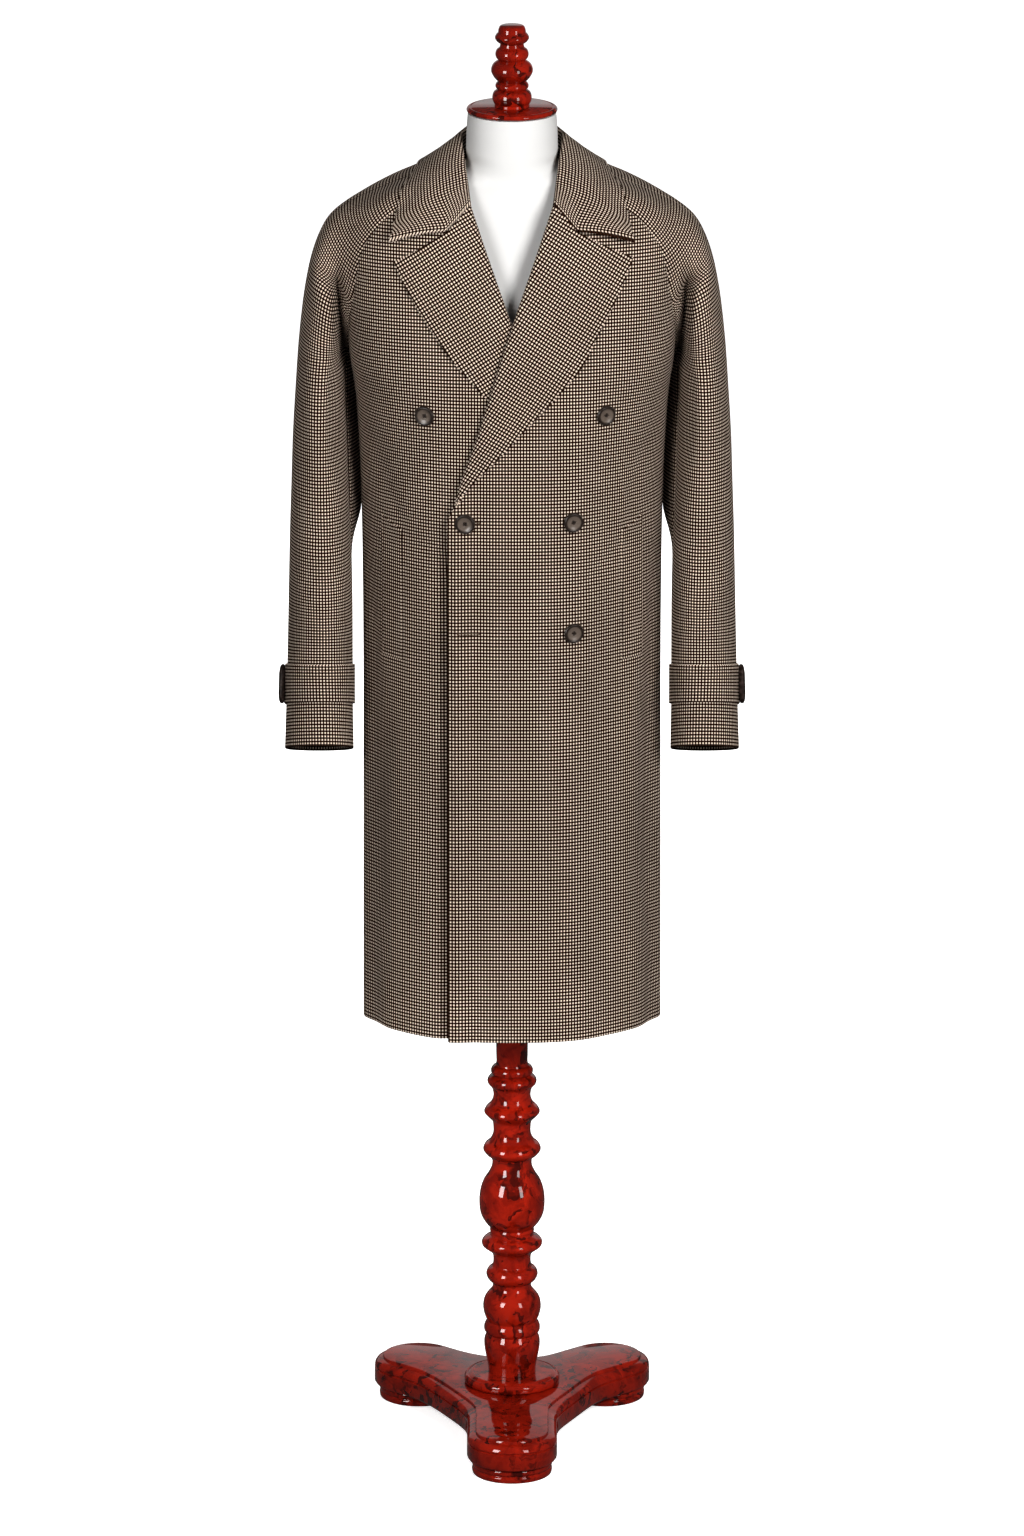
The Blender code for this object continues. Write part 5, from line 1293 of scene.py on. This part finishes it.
def stitch_tree():
    """Node tree that sets one small stitch at each step along its paths."""
    tree = bpy.data.node_groups.new("stitches along a path", "GeometryNodeTree")
    tree.interface.new_socket("Paths", in_out="INPUT", socket_type="NodeSocketGeometry")
    for name, value in STITCH_INPUTS:
        socket = tree.interface.new_socket(name, in_out="INPUT", socket_type="NodeSocketFloat")
        socket.default_value = value
    tree.interface.new_socket("Thread", in_out="INPUT", socket_type="NodeSocketMaterial")
    tree.interface.new_socket("Stitches", in_out="OUTPUT", socket_type="NodeSocketGeometry")
    nodes, link = tree.nodes, tree.links.new
    given, result = nodes.new("NodeGroupInput"), nodes.new("NodeGroupOutput")
    path = nodes.new("GeometryNodeMeshToCurve")
    link(given.outputs["Paths"], path.inputs["Mesh"])
    steps = nodes.new("GeometryNodeResampleCurve")
    steps.mode = "LENGTH"
    link(path.outputs["Curve"], steps.inputs["Curve"])
    link(given.outputs["Pitch"], steps.inputs["Length"])
    ball = nodes.new("GeometryNodeMeshUVSphere")
    ball.inputs["Segments"].default_value, ball.inputs["Rings"].default_value = 6, 4
    ball.inputs["Radius"].default_value = 0.5
    size = nodes.new("ShaderNodeCombineXYZ")
    for socket, name in zip(size.inputs, ("Along", "Across", "High")):
        link(given.outputs[name], socket)
    along, up = nodes.new("GeometryNodeInputTangent"), nodes.new("GeometryNodeInputNamedAttribute")
    up.data_type = "FLOAT_VECTOR"
    up.inputs["Name"].default_value = "up"
    first, second = (nodes.new("FunctionNodeAlignRotationToVector") for _ in range(2))
    first.axis, second.axis, second.pivot_axis = "X", "Z", "X"
    link(along.outputs["Tangent"], first.inputs["Vector"])
    link(first.outputs["Rotation"], second.inputs["Rotation"])
    link(up.outputs["Attribute"], second.inputs["Vector"])
    sewn = nodes.new("GeometryNodeInstanceOnPoints")
    link(steps.outputs["Curve"], sewn.inputs["Points"])
    link(ball.outputs["Mesh"], sewn.inputs["Instance"])
    link(second.outputs["Rotation"], sewn.inputs["Rotation"])
    link(size.outputs["Vector"], sewn.inputs["Scale"])
    real, dyed = nodes.new("GeometryNodeRealizeInstances"), nodes.new("GeometryNodeSetMaterial")
    link(sewn.outputs["Instances"], real.inputs["Geometry"])
    link(real.outputs["Geometry"], dyed.inputs["Geometry"])
    link(given.outputs["Thread"], dyed.inputs["Material"])
    link(dyed.outputs["Geometry"], result.inputs["Stitches"])
    return tree


def sew(name, paths, tree, **sizes):
    """Stitches along paths (each points and normals), made by the tree and kept as a plain mesh."""
    points, edges, ups = [], [], []
    for line, normals in paths:
        first = len(points)
        points += list(np.asarray(line) + POST_AXIS)
        ups += list(np.asarray(normals))
        edges += [(i, i + 1) for i in range(first, len(points) - 1)]
    mesh = bpy.data.meshes.new(name + "_path")
    mesh.from_pydata([tuple(p) for p in points], edges, [])
    mesh.attributes.new("up", "FLOAT_VECTOR", "POINT").data.foreach_set("vector", np.array(ups).ravel())
    carrier = bpy.data.objects.new(name, mesh)
    bpy.context.scene.collection.objects.link(carrier)
    modifier = carrier.modifiers.new("stitches", "NODES")
    modifier.node_group = tree
    for item in tree.interface.items_tree:
        if item.in_out == "INPUT" and item.name in sizes:
            modifier[item.identifier] = sizes[item.name]
        elif item.in_out == "INPUT" and item.name == "Thread":
            modifier[item.identifier] = look_of(sewing_thread)
    bpy.context.view_layer.update()
    graph = bpy.context.evaluated_depsgraph_get()
    sewn = bpy.data.meshes.new_from_object(carrier.evaluated_get(graph))
    if not sewn.polygons:
        raise RuntimeError("no stitches were made for " + name)
    carrier.modifiers.clear()
    carrier.data = sewn
    sewn.shade_smooth()
    return settle_in(carrier, "coat_cloth")


def edge_path(grid, inset, column=-1):
    """Path a little inside one column edge of a grid, on its surface: points and normals."""
    step = 1 if column == 0 else -1
    outer, normals = grid[0][:, ::step], grid[1][:, ::step]
    run = run_lengths(outer, 1)
    points, ups = [], []
    for r in range(len(outer)):
        c = np.searchsorted(run[r], inset)
        if c < outer.shape[1]:
            points.append(outer[r, c] + normals[r, c] * THREAD_LIFT)
            ups.append(normals[r, c])
    return np.array(points), np.array(ups)


def turned_grid(grid):
    return tuple(part.swapaxes(0, 1) for part in grid)


def buttonhole_path(x, z, long):
    """Loop round a buttonhole in the upper front."""
    turn = np.linspace(0, 2 * math.pi, 60)
    px = x + long / 2 + (long / 2) * np.cos(turn)
    swell = 1 + 0.9 * ease((-np.cos(turn) - 0.72) / 0.2)
    pz = z + 0.0011 * np.sign(np.sin(turn)) * np.abs(np.sin(turn)) ** 0.5 * swell
    return on_front(1, px, pz, THREAD_LIFT)


class OVERCOAT_OT_sewing(bpy.types.Operator):
    """Stitch the edges and work the buttonholes"""
    bl_idname = "overcoat.sewing"
    bl_label = "Stitches and buttonholes"

    def execute(self, context):
        coat = context.scene.overcoat
        tree = stitch_tree()
        paths = [edge_path(grids[node], EDGE_INSET) for node in ("lapel_left", "lapel_right", "collar")]
        for label, _ in SIDES:
            welt, strap = grids[f"pocket_welt_{label}"], turned_grid(grids[f"cuff_strap_{label}"])
            paths += [edge_path(welt, SMALL_INSET), edge_path(turned_grid(welt), SMALL_INSET, 0),
                      edge_path(turned_grid(welt), SMALL_INSET), edge_path(strap, SMALL_INSET),
                      edge_path(strap, SMALL_INSET, 0)]
        z = np.linspace(HEM_Z + 0.01, BREAK_Z - 0.005, 90)
        edge_x = body_base(np.full(90, -LAP_EDGE), z)[:, 0] + EDGE_INSET
        paths.append(on_front(1, edge_x, z, THREAD_LIFT))
        sew("edge_stitches", paths, tree, Pitch=coat.stitch_pitch, Along=coat.stitch_long,
            Across=0.0005, High=0.0004)
        holes = [buttonhole_path(*hole) for hole in BUTTONHOLES]
        sew("buttonhole_stitches", holes, tree, Pitch=0.0007, Along=0.0006, Across=0.0016,
            High=0.0006)
        return {"FINISHED"}


# Dress form and stand

class OVERCOAT_OT_form(bpy.types.Operator):
    """Make the smooth dress form that carries the coat"""
    bl_idname = "overcoat.form"
    bl_label = "Dress form"

    def execute(self, context):
        low, high = np.linspace(FORM[0, 0], FORM_FINE_Z, 70), np.linspace(FORM_FINE_Z, FORM[-1, 0], 60)
        z = np.unique(np.concatenate((low, high)))
        steps = 96
        half, front, back = (curve(FORM, c, z)[:, None] for c in (1, 2, 3))
        tight = FORM_EASE * ease((z - EASE_LOW) / EASE_LOW_FADE) * ease((EASE_HIGH - z) / EASE_HIGH_FADE)
        turn = np.linspace(0, 2 * math.pi, steps, endpoint=False)
        s, c = np.sin(turn), np.cos(turn)
        points = np.stack(((half - tight[:, None]) * s, -c * (np.where(c > 0, front, back) - tight[:, None]),
                           np.broadcast_to((z - tight)[:, None], (len(z), steps))), -1)
        faces = ring_faces(len(z), steps)
        piece = add_mesh("form_covered", points.reshape(-1, 3), faces, look_of(form_cover), crisp=50)
        settle_in(piece, "form_cover", "dress_form")
        return {"FINISHED"}


def blend(a, b, width):
    h = np.maximum(width - np.abs(a - b), 0.0) / width
    return np.minimum(a, b) - h * h * width / 4


def base_distance(x, y):
    """Distance outside the outline of the three-legged base, from the post axis."""
    total = np.ones(np.shape(x))
    for _, ex, ey in LEGS:
        along = np.clip((x * ex + y * ey) / (ex * ex + ey * ey), 0.0, 1.0)
        total = blend(total, np.hypot(x - ex * along, y - ey * along) - LEG_HALF, LEG_BLEND)
    return total


def base_mesh():
    """Three-legged base: rings inside its outline, found by halving."""
    steps = 288
    turn = 2 * math.pi * (np.arange(steps) + 0.5) / steps
    rings = []
    for z, inset in BASE_EDGE:
        low, high = np.full(steps, 0.01), np.full(steps, 0.30)
        for _ in range(40):
            mid = 0.5 * (low + high)
            within = base_distance(mid * np.cos(turn), mid * np.sin(turn)) < -inset
            low, high = np.where(within, mid, low), np.where(within, high, mid)
        rings.append(np.stack((low * np.cos(turn), low * np.sin(turn), np.full(steps, z)), -1))
    faces = ring_faces(len(rings), steps)
    return add_mesh("base_lacquered", np.concatenate(rings), faces, look_of(burl_lacquer), crisp=38)


# Turned pieces: name, the node that each stands for, profile, steps between its points
TURNED = (("post_turned", "post", POST, 5), ("finial_turned", "finial", FINIAL, 5),
          ("neck_cap_turned", "neck_cap", NECK_CAP, 4), ("disc_turned", "base_disc", BASE_DISC, 4))


class OVERCOAT_OT_stand(bpy.types.Operator):
    """Turn the post, cap, finial and disc, and shape the base and its feet"""
    bl_idname = "overcoat.stand"
    bl_label = "Turned stand"

    def execute(self, context):
        lacquer = look_of(burl_lacquer)
        for name, node, profile, finer in TURNED:
            settle_in(turned(name, profile, lacquer, finer), "lacquer", node)
        settle_in(base_mesh(), "lacquer", "stand_base")
        pad = [(PAD_RADIUS - inset, height) for inset, height in PAD]
        for name, x, y in LEGS:
            foot = turned(f"pad_{name}_turned", pad, lacquer, 3, (x, y))
            settle_in(foot, "lacquer", f"foot_pad_{name}")
        return {"FINISHED"}


# Stage

CAMERA_BACK, CAMERA_HIGH, CAMERA_DOWN = 14.0, 4.914, 16.13
CAMERA_LENS = 11651 / 1536 * 36.0
# Lamps: azimuth to the right of the camera's side and height in degrees, watts
LIGHTS = (("left light", -29.0, 20.0, 103.0), ("right light", 30.0, 21.0, 202.0),
          ("back light", 180.0, 15.0, 90.0))
# Panes that only polished pieces reflect: azimuth, height in degrees, width, watts
WINDOWS = (("left window", -41.0, 24.0, 1.4, 205.0), ("right window", 36.0, 24.0, 1.0, 85.0),
           ("back window", 180.0, 20.0, 6.0, 26.0))
LIGHT_AWAY, LIGHT_WIDE = 4.4, 1.7
WINDOW_AWAY, WINDOW_HIGH = 5.0, 2.6


def toward(azimuth, height):
    """Direction from the stand: azimuth to the right of the camera's side and height, in degrees."""
    a, h = math.radians(azimuth), math.radians(height)
    return Vector((math.sin(a) * math.cos(h), -math.cos(a) * math.cos(h), math.sin(h)))


class OVERCOAT_OT_stage(bpy.types.Operator):
    """Set the pale floor, which glows as painted light, the soft lights and the camera"""
    bl_idname = "overcoat.stage"
    bl_label = "Floor, lights and camera"

    def add_light(self, name, kind, energy, place, aim, **settings):
        light = bpy.data.lights.new(name, kind)
        light.energy = energy
        for key, value in settings.items():
            setattr(light, key, value)
        lamp = bpy.data.objects.new(name, light)
        bpy.context.scene.collection.objects.link(lamp)
        lamp.location = place
        lamp.rotation_euler = (Vector(aim) - Vector(place)).to_track_quat("-Z", "Y").to_euler()
        return lamp

    def execute(self, context):
        scene = context.scene
        look = Finish("pale floor")
        place = look.object_place()
        soft = look.noise(place, 1.5)
        look.colour(look.mix(soft, (0.90, 0.895, 0.885, 1), (0.92, 0.915, 0.905, 1)))
        # Painted light: the floor glows, 0.72 everywhere and up to 0.32 more away from the stand, so that it
        # stays white under the coat's shadow and where the lamps fall off; near the stand it glows less, so
        # that a soft contact shadow shows.
        off_stand = look.node("ShaderNodeVectorMath", {0: place}, operation="LENGTH").outputs["Value"]
        paler = look.math("MULTIPLY", look.soft_step(off_stand, 0.4, 2.5), 0.32)
        look.links.new(look.math("ADD", paler, 0.72), look.shader.inputs["Emission Strength"])
        look.set(Roughness=0.9, Specular_IOR_Level=0.1, Emission_Color=(1, 1, 1, 1))
        mesh = bpy.data.meshes.new("floor")
        mesh.from_pydata([(-30, -30, 0), (30, -30, 0), (30, 40, 0), (-30, 40, 0)], [], [(0, 1, 2, 3)])
        mesh.materials.append(look.material)
        floor = bpy.data.objects.new("floor", mesh)
        scene.collection.objects.link(floor)
        floor.visible_diffuse = floor.visible_glossy = False
        world = bpy.data.worlds.new("soft room")
        world.use_nodes = True
        room = world.node_tree.nodes["Background"]
        room.inputs["Color"].default_value = (1.0, 0.99, 0.975, 1.0)
        room.inputs["Strength"].default_value = 0.13
        scene.world = world
        chest = Vector((0, 0, 1.25))
        for name, azimuth, height, power in LIGHTS:
            light = self.add_light(name, "AREA", power, chest + toward(azimuth, height) * LIGHT_AWAY, chest,
                                   shape="DISK", size=LIGHT_WIDE)
            light.visible_glossy = False
        for name, azimuth, height, wide, power in WINDOWS:
            window = self.add_light(name, "AREA", power, toward(azimuth, height) * WINDOW_AWAY, (0, 0, 0.2),
                                    shape="RECTANGLE", size=wide, size_y=WINDOW_HIGH)
            window.visible_diffuse = window.visible_camera = False
        under_hem = Vector((0.0, 0.0, 0.33))
        from_front = under_hem + toward(-12.0, 8.0) * LIGHT_AWAY
        spot = self.add_light("stand light", "SPOT", 680.0, from_front, under_hem,
                              spot_size=math.radians(6.2), spot_blend=0.5, shadow_soft_size=0.25)
        spot.visible_glossy = False
        camera = bpy.data.cameras.new("camera")
        camera.sensor_width, camera.lens = 36.0, CAMERA_LENS
        camera.clip_end = 100.0
        eye = bpy.data.objects.new("camera", camera)
        eye.location = (0.0, POST_AXIS[1] - CAMERA_BACK, CAMERA_HIGH)
        eye.rotation_euler = (math.radians(90.0 - CAMERA_DOWN), 0.0, 0.0)
        scene.collection.objects.link(eye)
        scene.camera = eye
        scene.view_settings.view_transform = "Standard"
        scene.view_settings.gamma = 0.86
        return {"FINISHED"}


OPERATORS = (OVERCOAT_OT_panels, OVERCOAT_OT_sleeves, OVERCOAT_OT_lapels, OVERCOAT_OT_collar,
             OVERCOAT_OT_pockets, OVERCOAT_OT_cuffs, OVERCOAT_OT_buttons, OVERCOAT_OT_sewing,
             OVERCOAT_OT_form, OVERCOAT_OT_stand, OVERCOAT_OT_stage)


class OVERCOAT_PT_sidebar(bpy.types.Panel):
    """Settings and makers of the overcoat"""
    bl_idname = "OVERCOAT_PT_sidebar"
    bl_label = "Overcoat"
    bl_space_type = "VIEW_3D"
    bl_region_type = "UI"
    bl_category = "Overcoat"

    def draw(self, context):
        for key in OvercoatSettings.__annotations__:
            self.layout.prop(context.scene.overcoat, key)
        for operator in OPERATORS:
            self.layout.operator(operator.bl_idname)


CLASSES = (OvercoatSettings, *OPERATORS, OVERCOAT_PT_sidebar)


def register():
    for item in CLASSES:
        bpy.utils.register_class(item)
    bpy.types.Scene.overcoat = PointerProperty(type=OvercoatSettings)


def unregister():
    del bpy.types.Scene.overcoat
    for item in reversed(CLASSES):
        bpy.utils.unregister_class(item)


def main():
    register()
    for operator in OPERATORS:
        group, name = operator.bl_idname.split(".")
        getattr(getattr(bpy.ops, group), name)()


if __name__ == "__main__":
    main()
